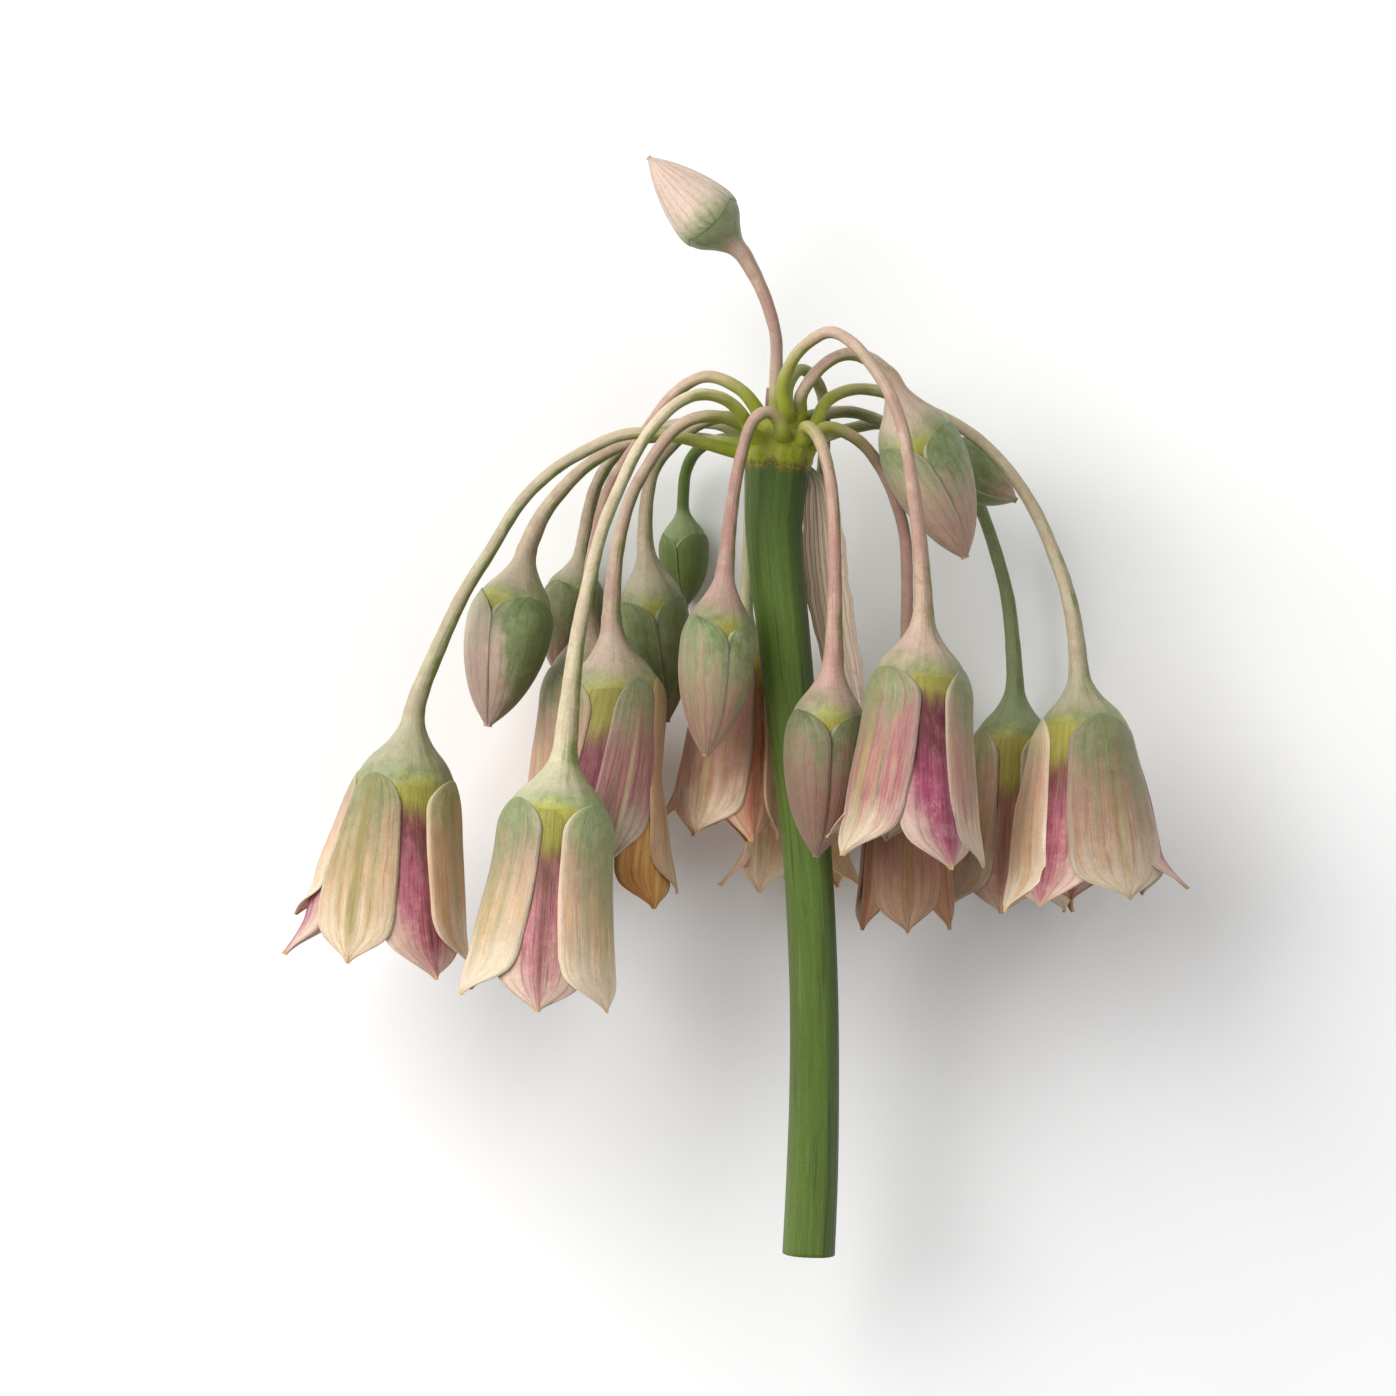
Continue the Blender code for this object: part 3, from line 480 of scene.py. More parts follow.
def smoothRoute(points, steps=16):        # close-set points on a smooth curve through the given ones
    spots = np.array(points, float)
    ends = np.vstack([2 * spots[0] - spots[1], spots, 2 * spots[-1] - spots[-2]])
    fine = []
    for a, b, c, d in zip(ends[:-3], ends[1:-2], ends[2:-1], ends[3:]):
        for t in np.linspace(0, 1, steps, endpoint=False):
            fine.append(0.5 * (2 * b + (c - a) * t + (2 * a - 5 * b + 4 * c - d) * t ** 2
                               + (3 * b - a - 3 * c + d) * t ** 3))
    fine.append(spots[-1])
    return np.array(fine)


def runAlong(line):                        # the run along a line to each of its points
    return np.concatenate([[0], np.cumsum(np.linalg.norm(np.diff(line, axis=0), axis=1))])


def placesAt(line, run, steps):
    return np.column_stack([np.interp(steps, run, column) for column in line.T])


def evenly(line, count):                   # count points at even steps along a line, and the run to each
    run = runAlong(line)
    steps = np.linspace(0, run[-1], count)
    return placesAt(line, run, steps), steps


def ease(value, start, end):               # 0 at the start, 1 at the end, straight between
    return np.clip((value - start) / (end - start), 0, 1)


def hill(value, middle, width):            # 1 at the middle, falling off on both sides
    return np.exp(-((value - middle) / width) ** 2)


def circle(sides):                         # angles at even steps round a ring
    return np.linspace(0, 2 * math.pi, sides, endpoint=False)


def spokes(angle, up, right):              # directions out from a flower's middle line
    return np.cos(angle)[..., None] * up + np.sin(angle)[..., None] * right


# rings of a tube round a line, without twist: points, and their directions out from the line
def rings(line, radii, sides):
    tangents = np.gradient(line, axis=0)
    tangents /= np.linalg.norm(tangents, axis=1)[:, None]
    side = np.cross(tangents[0], [0.0, 0.0, 1.0])
    if np.linalg.norm(side) < 0.1:
        side = np.cross(tangents[0], [1.0, 0.0, 0.0])
    turn = circle(sides)
    points, outward = [], []
    for centre, tangent, radius in zip(line, tangents, radii):
        side = side - side.dot(tangent) * tangent
        side /= np.linalg.norm(side)
        other = np.cross(tangent, side)
        out = np.cos(turn)[:, None] * side - np.sin(turn)[:, None] * other
        outward.append(out)
        points.append(centre + out * np.reshape(radius, (-1, 1)))
    return np.array(points), np.array(outward)


# a flower's own axes: its neck, the way it points, up from the table, its right, and its scale
def flowerAxes(plan, fullLength):
    neck = Vector(plan["neck"])
    along = (Vector(plan["tip"]) - neck).normalized()
    up = Vector((0, 0, 1))
    up = (up - up.dot(along) * along).normalized()
    right = up.cross(along)
    scale = (Vector(plan["tip"]) - neck).length / fullLength
    return np.array(neck), np.array(along), np.array(up), np.array(right), scale


# stem: (x, y, z, radius) in mm, from the cut end to the top of the hub, where the stalks spring. A rib is
# how many times it comes round the stem, its depth as a share of the radius, and where it starts. Each
# stalk raises a mound on the hub and a ridge down its side. A fade is the heights between which a thing
# comes or goes, and ridgePlace and scar are a height and a width; the hub's colour and the scar reach
# lower on the ridges, by hubDrop and scarDrop
stem = dict(
    line=[(7.35, -54.9, 18.2, 2.60), (7.70, -46.9, 18.9, 2.55), (7.90, -37.8, 19.6, 2.45),
          (7.85, -28.6, 20.1, 2.40), (7.45, -18.9, 20.4, 2.40), (6.85, -11.0, 20.5, 2.42),
          (6.15, -5.2, 20.5, 2.45), (5.45, 1.0, 20.5, 2.52), (4.75, 8.0, 20.5, 2.60),
          (4.10, 14.0, 20.5, 2.72), (3.85, 18.5, 20.5, 2.85), (4.10, 22.2, 20.5, 3.08),
          (4.25, 24.4, 20.5, 3.25), (4.30, 25.8, 20.5, 3.28), (4.30, 27.1, 20.5, 2.90),
          (4.30, 28.1, 20.5, 2.05), (4.30, 28.65, 20.5, 1.10), (4.30, 28.80, 20.5, 0.50)],
    stub=[(3.45, 27.6, 19.9, 0.42), (3.35, 30.2, 19.8, 0.38), (3.25, 31.9, 19.9, 0.16)],
    sides=96, rings=330, hubFrom=0.9,
    ribs=[(17, 0.011, 0.6), (5, 0.0154, 1.9), (29, 0.0066, 0.2)], ribsFade=(27.5, 23.5),
    hub=(4.30, 25.4, 20.5), hubReach=3.72, hubFade=(24.35, 25.45), hubDrop=0.9,
    mound=0.75, moundSpread=0.32, moundsFade=(24.0, 25.2),
    ridge=0.28, ridgeSpread=0.15, ridgePlace=(25.3, 0.75),
    scar=(24.55, 0.32), scarRise=0.14, scarPaint=0.40, scarDrop=0.6,
)

# every bell: root is the bearing and height of its stalk on the hub, in degrees; shoulder is where its
# outer petals start, in mm below the neck. A petal is bearing, extra length, flare, then pinkness,
# greenness, stripe and warmth, outer and inner in turn. lean is how far each petal turns on its way down,
# in degrees, and spread widens it. stalk is pinkness, greenness and lightness; tone lightness and dullness.
# These lightnesses are partly the flower's own tone and partly painted light and shade, lifting flowers
# that lie in the shadow of others and darkening some further back.
# Where a bell has them: early and broad, in mm, swell its top sooner and more; squeeze presses in its side
# at a bearing by a share, or swells it out when below 0; sink draws one edge of a petal inwards, in mm;
# shine lightens a petal, or darkens it below 1, as painted light and shade for single petals; and patch
# fades the yellow green between the outer petals
bells = {
    "far_left": dict(
        root=(-88, 2),
        route=[(-1.5, 25.9, 21.2), (-6.2, 27.0, 21.7), (-11.0, 27.2, 22.2), (-15.2, 25.4, 22.4),
               (-18.4, 23.4, 22.4), (-21.6, 20.2, 22.2), (-24.5, 15.5, 21.9), (-27.2, 11.2, 21.5),
               (-29.6, 6.1, 21.0), (-31.4, 1.9, 20.6)],
        neck=(-32.1, -0.2, 20.4), tip=(-35.1, -25.8, 20.0), width=1.03, shoulder=6.6,
        stalk=(0.14, 0.56, 1.14), tone=(1.04, 0.0),
        petals=[(-25, 0, 0.3, 0.12, 0.45, 0.95, 0.12), (40, 0.6, 0.6, 0.80, 0.10, 0.10, 0.0),
                (88, -0.4, 0.4, 0.30, 0.55, 0.60, 0.15), (170, -1.8, 0.9, 0.7, 0.5, 0.2, 0.0),
                (-106, -3.8, 1.2, 0.15, 0.20, 0.3, 0.0), (-96, 0.2, 1.2, 0.80, 0.5, 0.0, 0.0)],
        lean=(12, 22, 12, 12, 0, 6), spread=(0.76, 1.0, 1.12, 1.30, 1.0, 1.0), squeeze=(-100, -0.12),
        sink={5: 0.40}, paintedLight={1: 1.10, 2: 1.30, 4: 1.12}),
    "front_left": dict(
        root=(-40, 22),
        route=[(1.0, 28.6, 25.4), (-0.8, 30.4, 27.4), (-3.2, 31.0, 29.2), (-5.2, 30.4, 30.6),
               (-7.2, 28.8, 31.8), (-9.6, 25.6, 33.0), (-11.5, 21.6, 34.0), (-13.2, 17.4, 34.8),
               (-14.6, 11.8, 35.4), (-15.7, 6.2, 35.8), (-16.4, 0.2, 36.0)],
        neck=(-16.9, -4.9, 36.0), tip=(-19.6, -29.1, 35.8), width=0.97, shoulder=4.7, early=1.5, broad=0.6,
        stalk=(0.10, 0.48, 1.32), tone=(1.05, 0.0),
        petals=[(-66, -0.2, 0.7, 0.18, 0.50, 0.40, 0.0), (2, 0.5, 0.2, 0.60, 0.45, 0.20, 0.0),
                (60, 0, 0.4, 0.30, 0.60, 0.30, 0.0), (120, -0.3, 0.5, 0.6, 0.6, 0.2, 0.0),
                (180, 0, 0.4, 0.4, 0.5, 0.4, 0.0), (-122, -0.5, 0.6, 0.8, 0.5, 0.2, 0.0)],
        lean=(-6, 10, 8, 0, 0, 0), spread=(1.04, 1.0, 1.0, 1.0, 1.0, 1.0), sink={1: 0.14}, paintedLight={2: 1.22}),
    "inner_left": dict(
        root=(-62, 35),
        route=[(-1.5, 28.9, 23.2), (-4.5, 28.6, 24.0), (-7.0, 26.6, 24.2), (-9.0, 23.6, 24.0),
               (-10.3, 21.2, 23.8), (-11.2, 18.4, 23.7), (-11.8, 15.6, 23.6), (-12.2, 12.4, 23.6)],
        neck=(-12.4, 9.1, 23.6), tip=(-11.0, -17.4, 23.3), width=0.97, shoulder=6.1,
        stalk=(0.50, 0.22, 0.98), tone=(0.90, 0.12),
        petals=[(-12, -2.0, 0.1, 1.00, 0.30, 0.10, 0.0), (22, 2.8, 0.3, 0.20, 0.30, 0.75, 0.90),
                (50, 1.5, 0.9, 0.50, 0.30, 0.20, 0.35), (140, 0, 0.4, 0.8, 0.5, 0.2, 0.0),
                (-116, 0, 0.3, 0.65, 0.35, 0.2, 0.1), (-58, 0, 0.3, 1.0, 0.6, 0.2, 0.0)],
        lean=(-46, -46, -34, -20, -48, -50), spread=(0.62, 1.0, 0.80, 1.25, 1.0, 1.0), squeeze=(92, 0.40),
        sink={1: 0.20}, paintedLight={1: 1.15, 2: 1.1}),
    "back_left": dict(
        root=(-70, 62),
        route=[(0.6, 31.6, 21.6), (-2.4, 33.0, 21.2), (-4.6, 32.4, 20.6), (-6.8, 30.6, 19.8),
               (-8.6, 28.1, 18.9), (-11.0, 24.6, 17.6), (-12.8, 21.6, 16.4), (-14.0, 16.6, 14.8),
               (-14.6, 12.8, 13.6)],
        neck=(-14.9, 9.6, 12.0), tip=(-14.2, -14.4, 6.4), width=0.92, shoulder=5.6,
        stalk=(0.65, 0.15, 1.1), tone=(1.25, 0.0),
        petals=[(-52, 0, 0.3, 0.55, 0.15, 0.25, 0.0), (0, 0, 0.3, 0.70, 0.4, 0.2, 0.0),
                (60, 0, 0.3, 0.6, 0.4, 0.3, 0.1), (120, 0, 0.3, 0.8, 0.5, 0.2, 0.0),
                (180, 0, 0.3, 0.4, 0.4, 0.4, 0.1), (-116, 0, 0.3, 0.5, 0.4, 0.2, 0.0)],
        lean=(18, 0, 0, 0, 0, 10)),
    "centre_back": dict(
        root=(-148, 52),
        route=[(2.1, 28.9, 16.2), (1.6, 26.8, 15.0), (1.5, 23.0, 14.4), (1.4, 17.0, 14.2)],
        neck=(1.1, 10.9, 14.2), tip=(-1.3, -13.0, 15.5), width=0.70, shoulder=5.4,
        stalk=(0.0, 0.75, 1.3), tone=(1.65, 0.25),
        petals=[(-28, 0, 0.2, 0.70, 0.15, 0.50, 0.05), (32, 0.3, 0.1, 0.95, 0.00, 0.4, 0.35),
                (92, 0, 0.1, 0.5, 0.3, 0.4, 0.4), (152, 0, 0.1, 0.8, 0.4, 0.2, 0.2),
                (-148, 0, 0.1, 0.5, 0.4, 0.4, 0.2), (-88, -0.6, 1.2, 0.4, 0.2, 0.2, 0.2)],
        spread=(1.18, 1.0, 1.0, 1.0, 1.15, 1.2)),
    "behind_stem": dict(
        root=(150, 70),
        route=[(5.2, 32.0, 18.0), (6.4, 33.9, 16.6), (8.0, 33.0, 15.2), (8.9, 30.8, 13.8),
               (9.0, 26.6, 12.0), (8.6, 22.0, 10.2), (7.6, 16.0, 8.2), (6.4, 10.0, 6.4)],
        neck=(5.7, 5.0, 5.4), tip=(6.2, -18.4, 4.7), width=0.70, shoulder=5.4,
        stalk=(0.05, 0.85, 0.95), tone=(1.45, 0.0),
        petals=[(-40, 0, 0.4, 0.45, 0.1, 0.3, 0.1), (20, 0, 0.3, 0.4, 0.2, 0.2, 0.3),
                (80, 0.2, 1.4, 0.15, 0.1, 0.3, 0.4), (130, 0, 0.3, 0.3, 0.2, 0.2, 0.5),
                (180, 0, 0.1, 0.3, 0.3, 0.3, 0.1), (-92, -0.6, 2.4, 0.0, 0.1, 0.0, 0.1)],
        spread=(1.0, 1.0, 1.15, 1.0, 1.0, 1.0)),
    "front_right": dict(
        root=(20, 60),
        route=[(4.6, 31.6, 23.2), (5.3, 33.8, 24.0), (6.5, 35.6, 24.8), (9.2, 37.3, 26.2),
               (11.5, 36.2, 27.4), (13.3, 34.1, 28.4), (15.1, 31.3, 29.4), (16.4, 28.0, 30.2),
               (17.1, 24.4, 30.9), (17.7, 20.3, 31.5), (18.1, 16.8, 31.9), (18.4, 13.2, 32.1)],
        neck=(18.55, 9.6, 32.3), tip=(17.1, -15.4, 32.3), width=0.90, shoulder=5.9, broad=0.5, patch=0.6,
        stalk=(0.55, 0.12, 1.08), tone=(1.02, 0.05),
        petals=[(-64, -0.4, 0.5, 0.95, 0.36, 0.50, 0.0), (35, 0.3, 0.3, 1.00, -0.10, 0.0, 0.0),
                (80, 0, 0.3, 0.70, 0.55, 0.2, 0.0), (140, 0, 0.2, 0.8, 0.5, 0.2, 0.0),
                (-162, -2.0, 0.3, 0.5, 0.5, 0.4, 0.1), (-112, -2.0, 2.0, 0.1, 0.1, 0.0, 0.2)],
        lean=(-14, 16, 7, 0, 0, 0), spread=(1.18, 1.08, 0.96, 1.0, 1.0, 1.0)),
    "low_right": dict(
        root=(65, 12),
        route=[(8.2, 27.4, 22.4), (9.6, 27.9, 22.0), (12.3, 26.6, 20.8), (14.3, 24.3, 19.6),
               (15.8, 21.3, 18.6), (16.9, 17.7, 17.6), (17.2, 14.1, 17.0), (17.2, 8.0, 16.2)],
        neck=(17.0, 1.6, 15.6), tip=(17.2, -22.4, 15.0), width=0.64, shoulder=5.4,
        stalk=(0.85, 0.05, 1.0), tone=(1.05, 0.60),
        petals=[(0, 0, 0.0, 0.85, 0.15, 0.95, 0.2), (60, -0.2, 0.1, 0.5, 0.5, 0.8, 0.6),
                (120, 0, 0.0, 0.6, 0.4, 0.6, 0.3), (180, 0, 0.0, 0.6, 0.5, 0.3, 0.1),
                (-120, 0, 0.0, 0.7, 0.3, 0.3, 0.1), (-60, -0.6, 0.2, 0.6, 0.4, 0.7, 0.6)]),
    "inner_right": dict(
        root=(112, 18),
        route=[(9.2, 27.2, 16.2), (11.6, 28.0, 12.8), (15.0, 28.6, 10.2), (18.6, 27.6, 8.6),
               (21.8, 25.0, 7.6), (23.9, 22.2, 7.3), (25.3, 19.0, 7.1), (26.5, 15.4, 7.0),
               (27.6, 11.2, 6.9), (28.1, 7.0, 6.9)],
        neck=(28.4, 2.8, 6.8), tip=(27.7, -20.2, 6.0), width=0.86, shoulder=5.7,
        stalk=(0.0, 1.0, 0.98), tone=(0.95, 0.05),
        petals=[(-60, 0, 0.4, 0.30, 0.45, 0.3, 0.1), (-8, 0.2, 0.2, 0.25, 0.90, 0.3, 0.1),
                (54, 0, 0.2, 0.5, 0.5, 0.4, 0.1), (112, 0.3, 0.6, 0.0, 0.9, 0.8, 0.5),
                (180, 0, 0.2, 0.4, 0.5, 0.4, 0.1), (-124, 0, 0.2, 0.7, 0.5, 0.2, 0.0)],
        lean=(6, 0, 0, 0, 0, 0)),
    "far_right": dict(
        root=(85, 35),
        route=[(9.0, 30.5, 19.2), (11.6, 31.8, 17.6), (14.4, 31.7, 16.2), (17.0, 30.8, 15.6),
               (19.2, 29.8, 15.4), (21.8, 28.6, 15.6), (24.9, 26.4, 16.2), (27.7, 23.3, 17.0),
               (30.0, 19.7, 17.9), (31.8, 15.6, 18.7), (33.2, 11.6, 19.4), (34.0, 7.5, 20.0)],
        neck=(34.3, 4.1, 20.4), tip=(35.9, -19.0, 20.6), width=0.96, shoulder=5.5,
        stalk=(0.22, 0.52, 1.12), tone=(1.04, 0.10),
        petals=[(25, 0.2, 0.2, 0.50, 0.52, 0.30, 0.0), (86, -0.4, 2.0, 1.0, 0.4, 0.0, 0.0),
                (140, 0, 0.4, 0.5, 0.5, 0.4, 0.0), (-164, 0, 0.3, 0.8, 0.5, 0.2, 0.0),
                (-80, 0.6, 0.6, 0.35, 0.15, 0.1, 0.0), (-44, 0.3, 0.2, 0.75, 0.45, 0.0, 0.0)],
        lean=(-4, 0, 0, 0, 8, -12), spread=(1.05, 1.0, 1.0, 1.0, 0.95, 1.05), squeeze=(-90, -0.15),
        paintedLight={0: 0.94, 4: 2.1, 5: 1.35}),
}

# shared shape of a bell: radii are in mm on a full-size one, places in mm below the neck. half gives the
# half width of a petal in degrees, by how far a place is above its tip, and step how deep an inner petal
# lies under the outer ones, except where its middle swells. From lateFrom on, the tip turns out. seat,
# curl, lip, pouch and keel are how deep a petal sits, how its sides turn in, how its edges stand proud,
# its swollen top and its middle line. A place is a middle and a width
bellShape = dict(
    cup=[(0.0, 1.0), (1.8, 1.34), (3.4, 2.30), (5.0, 3.80), (6.4, 4.62), (9.8, 5.48), (14.2, 6.38),
         (18.6, 7.05), (21.9, 7.45), (26.0, 7.80)],
    outer=dict(
        half=[(0.0, 0.6), (0.35, 3.6), (0.8, 9.5), (1.4, 19), (2.1, 30), (2.9, 38), (4.2, 43), (6.5, 45),
              (20.0, 45)],
        top=-0.15, lowest=0.05, edgeWave=0.12, keelWidth=0.07, keelFrom=1 / 4),
    inner=dict(
        half=[(0.0, 0.6), (0.4, 4.2), (0.9, 11), (1.6, 21), (2.4, 31), (3.4, 37), (5.0, 40.5), (10.0, 39),
              (20.0, 32)],
        step=[(0.0, 0.12), (1.0, 0.16), (2.0, 0.21), (4.5, 0.26), (8.0, 0.23), (13.0, 0.18), (20.0, 0.16)],
        top=0.6, lowest=0.30, edgeWave=0.04, keelWidth=0.08, keelFrom=1 / 3,
        swell=0.5, swellWidth=0.6, swellRise=(2, 6)),
    earlyEnd=14, broadPlace=(6, 4.5), mouth=21.9, notch=2.4, mouthSwell=0.15, lateFrom=0.78, flarePower=1.6,
    archRun=3.0, seat=0.06, curl=0.08, lip=0.15, lipWidth=0.90, merge=1.8, pouch=0.20, pouchPlace=(2.6, 2.2),
    keel=0.08, fold=0.06, ripple=0.05, thick=0.11, rows=52, columns=25,
)

# every bud: as a bell, with size for how thick it is, turn for the bearing of its first petal, look for
# pinkness, greenness and stripe, and warmth in the middle of its tone, whose lightness is partly painted
# light and shade as on a bell. Where a bud has them: taper slims its tip, archRun is the length of the round
# petal tops, edge makes them stand less proud, capGreen brings the green of the base higher, frost pales the
# petals, and shade paints the side towards the right, away from the key lamp, greener and darker: painted
# shade
buds = {
    "top": dict(
        root=(-30, 84),
        route=[(4.0, 32.2, 20.9), (4.1, 34.8, 20.9), (4.0, 37.2, 20.9), (3.2, 40.2, 20.8),
               (2.2, 42.6, 20.6)],
        neck=(0.8, 45.2, 20.5), tip=(-8.7, 54.9, 20.4), size=0.86, shoulder=6.2, turn=0, lean=0,
        stalk=(0.55, 0.10, 0.95), look=(0.70, 0.26, 0.10), tone=(1.16, 0.0, 0.0),
        taper=0.34, archRun=1.3, edge=0.3, capGreen=0.40, patch=0, frost=0.70),
    "left": dict(
        root=(-108, 10),
        route=[(-2.4, 26.7, 17.0), (-5.4, 27.1, 15.2), (-9.2, 27.0, 14.3), (-12.4, 25.8, 14.3),
               (-15.2, 24.0, 14.6), (-17.4, 21.8, 15.0), (-19.4, 19.2, 15.2)],
        neck=(-20.9, 16.0, 15.4), tip=(-24.9, -2.0, 15.6), size=1.02, shoulder=5.4, turn=-72, lean=22,
        stalk=(0.35, 0.40, 1.05), look=(0.80, 0.36, 0.10), tone=(1.02, 0.0, 0.0), frost=0.40, shade=0.75),
    "left_back": dict(
        root=(-138, 10),
        route=[(-1.0, 28.2, 14.8), (-4.5, 28.6, 11.8), (-8.5, 27.8, 9.0), (-12.0, 25.6, 6.6),
               (-14.0, 22.6, 4.8), (-14.9, 19.4, 3.6)],
        neck=(-15.5, 16.0, 3.0), tip=(-17.9, 3.0, 2.7), size=0.78, shoulder=5.4, turn=-40, lean=0,
        stalk=(0.3, 0.4, 0.85), look=(0.4, 0.60, 0.3), tone=(0.80, 0.0, 0.20)),
    "back": dict(
        root=(175, 10),
        route=[(4.4, 26.5, 14.0), (3.0, 26.9, 11.8), (0.8, 27.1, 9.8), (-1.6, 27.0, 7.7),
               (-3.8, 26.0, 5.6), (-5.0, 23.8, 3.8)],
        neck=(-5.3, 20.6, 2.7), tip=(-5.0, 10.2, 1.4), size=0.60, shoulder=5.6, turn=40, lean=0,
        stalk=(0.0, 1.6, 1.1), look=(0.0, 1.4, 0.0), tone=(1.05, 0.0, 0.0), patch=0),
    "middle_left": dict(
        root=(-118, 36),
        route=[(-0.8, 29.0, 18.6), (-3.2, 28.5, 17.9), (-5.6, 26.9, 17.1), (-8.0, 24.1, 16.5),
               (-8.9, 20.6, 16.2)],
        neck=(-9.1, 16.6, 16.0), tip=(-6.9, -1.6, 16.0), size=0.84, shoulder=6.4, turn=-55, lean=5,
        stalk=(0.25, 0.45, 0.95), look=(0.5, 0.85, 0.1), tone=(0.84, 0.0, 0.10)),
    "front_centre": dict(
        root=(5, 25),
        route=[(4.2, 28.6, 25.0), (3.1, 29.3, 25.8), (1.6, 28.2, 26.5), (0.4, 24.3, 26.6),
               (-0.4, 19.7, 26.4)],
        neck=(-1.0, 14.0, 26.2), tip=(-3.0, -5.0, 26.0), size=0.90, shoulder=5.5, turn=-30, lean=18,
        stalk=(0.80, 0.0, 1.0), look=(0.45, 0.34, 0.30), tone=(1.08, 0.0, 0.0), shade=0.25),
    "front_of_stem": dict(
        root=(38, 18),
        route=[(6.9, 27.9, 24.8), (8.0, 27.1, 26.0), (9.0, 24.5, 26.8), (9.65, 20.5, 27.1),
               (9.85, 15.0, 27.1), (9.85, 10.8, 27.0)],
        neck=(9.75, 5.1, 26.9), tip=(8.0, -15.0, 26.9), size=1.0, shoulder=5.6, turn=-46, lean=12,
        stalk=(0.75, 0.0, 1.1), look=(0.90, 0.22, 0.25), tone=(0.78, 0.0, 0.12), shade=0.12),
    "upper_right": dict(
        root=(80, 62),
        route=[(6.6, 31.2, 22.0), (8.2, 33.5, 22.5), (9.9, 34.8, 22.7), (11.7, 35.2, 22.6),
               (13.6, 34.5, 22.2)],
        neck=(15.4, 32.9, 21.7), tip=(23.0, 14.8, 20.6), size=1.02, shoulder=6.4, turn=-36, lean=30,
        stalk=(0.40, 0.20, 1.15), look=(0.45, 0.30, 0.15), tone=(1.08, 0.0, 0.0), frost=0.10, shade=0.15),
    "upper_right_back": dict(
        root=(118, 48),
        route=[(9.0, 29.4, 17.0), (11.8, 29.6, 14.8), (14.4, 28.8, 13.5), (16.2, 27.8, 12.9)],
        neck=(18.0, 26.8, 12.6), tip=(28.3, 20.8, 12.3), size=0.70, shoulder=5.4, turn=30, lean=0,
        stalk=(0.2, 0.5, 1.0), look=(0.1, 0.75, 0.2), tone=(1.20, 0.0, 0.0), patch=0),
}

# shared shape of a bud: as a bell's; core is where the closed inner petals start below the shoulder and
# where they end, then their rings and sides
budShape = dict(
    body=[(0.0, 1.0), (1.6, 1.22), (3.2, 2.05), (4.9, 3.25), (6.6, 3.85), (9.4, 4.0), (12.4, 3.6),
          (15.4, 2.6), (17.7, 1.35), (19.0, 0.35)],
    tip=19.0, overlap=0.15, archRun=3.0, half=62.0, seat=0.05, curl=0.03, lip=0.16, lipWidth=0.7, merge=1.5,
    lap=0.12, keel=0.05, keelWidth=0.08, ripple=0.04, thick=0.12, rows=44, columns=25,
    core=(0.5, 18.4, 34, 40), coreShare=0.92,
)


def rootDirection(plan):                   # from the middle of the hub to where a stalk grows
    bearing, height = (math.radians(a) for a in plan["root"])
    return np.array([math.cos(height) * math.sin(bearing), math.sin(height),
                     math.cos(height) * math.cos(bearing)])


def makeStem():
    route = smoothRoute(stem["line"])
    run = runAlong(route[:, :3])
    hubStart = run[-1] * stem["hubFrom"]
    half = stem["rings"] // 2              # half of the rings are at the hub
    steps = [np.linspace(0, hubStart, half, endpoint=False), np.linspace(hubStart, run[-1], half)]
    route = placesAt(route, run, np.concatenate(steps))
    height = route[:, 1]
    turn = circle(stem["sides"])
    ribs = sum(depth * np.cos(count * turn + start) for count, depth, start in stem["ribs"])
    profile = route[:, 3:] * (1 + np.outer(ease(height, *stem["ribsFade"]), ribs))
    crumbs = 0.725 + 0.275 * np.sin(turn * 23 + 1.0) * np.sin(turn * 9 + 2.0)
    scarHeight, scarWidth = stem["scar"]
    profile += stem["scarRise"] * np.outer(hill(height, scarHeight, scarWidth), crumbs)
    points, _ = rings(route[:, :3], profile, stem["sides"])
    away = points - np.array(stem["hub"])
    direction = away / np.linalg.norm(away, axis=2)[:, :, None]
    mounds, ridges = np.zeros(points.shape[:2]), np.zeros(stem["sides"])
    for plan in [*bells.values(), *buds.values()]:
        angle = np.arccos(np.clip(direction @ rootDirection(plan), -1, 1))
        mounds = np.maximum(mounds, hill(angle, 0, stem["moundSpread"]))
        aside = turn - math.pi / 2 + math.radians(plan["root"][0])
        aside = (aside + math.pi) % (2 * math.pi) - math.pi
        ridges = np.maximum(ridges, hill(aside, 0, stem["ridgeSpread"]))
    # each stalk's root runs a little way down the side of the hub
    lift = stem["mound"] * mounds * ease(height, *stem["moundsFade"])[:, None]
    lift = lift + stem["ridge"] * np.outer(hill(height, *stem["ridgePlace"]), ridges)
    points = points + direction * lift[:, :, None]
    hubShare = ease(height[:, None] + stem["hubDrop"] * ridges, *stem["hubFade"])
    scarShare = hill(height[:, None] + stem["scarDrop"] * ridges, scarHeight, stem["scarPaint"])
    stub = smoothRoute(stem["stub"], 10)
    stubPoints, _ = rings(stub[:, :3], stub[:, 3], stem["sides"])

    def tinted(points, height, *tint):
        shape = points.shape[:2]
        return dict(points=points, carried=dict(
            stemPlace=spreadOut(shape, np.cos(turn), np.sin(turn), height[:, None]),
            stemTint=spreadOut(shape, *tint)))

    stemGrid = tinted(points, height, hubShare, 0.0, scarShare)
    stubGrid = tinted(stubPoints, stub[:, 1], 0.0, 1.0, 0.0)
    piece = gridPiece("stem_hub_and_stub", [stemGrid, stubGrid], [stemSkin], wrap=True, caps=True)
    settle(piece, "scape")


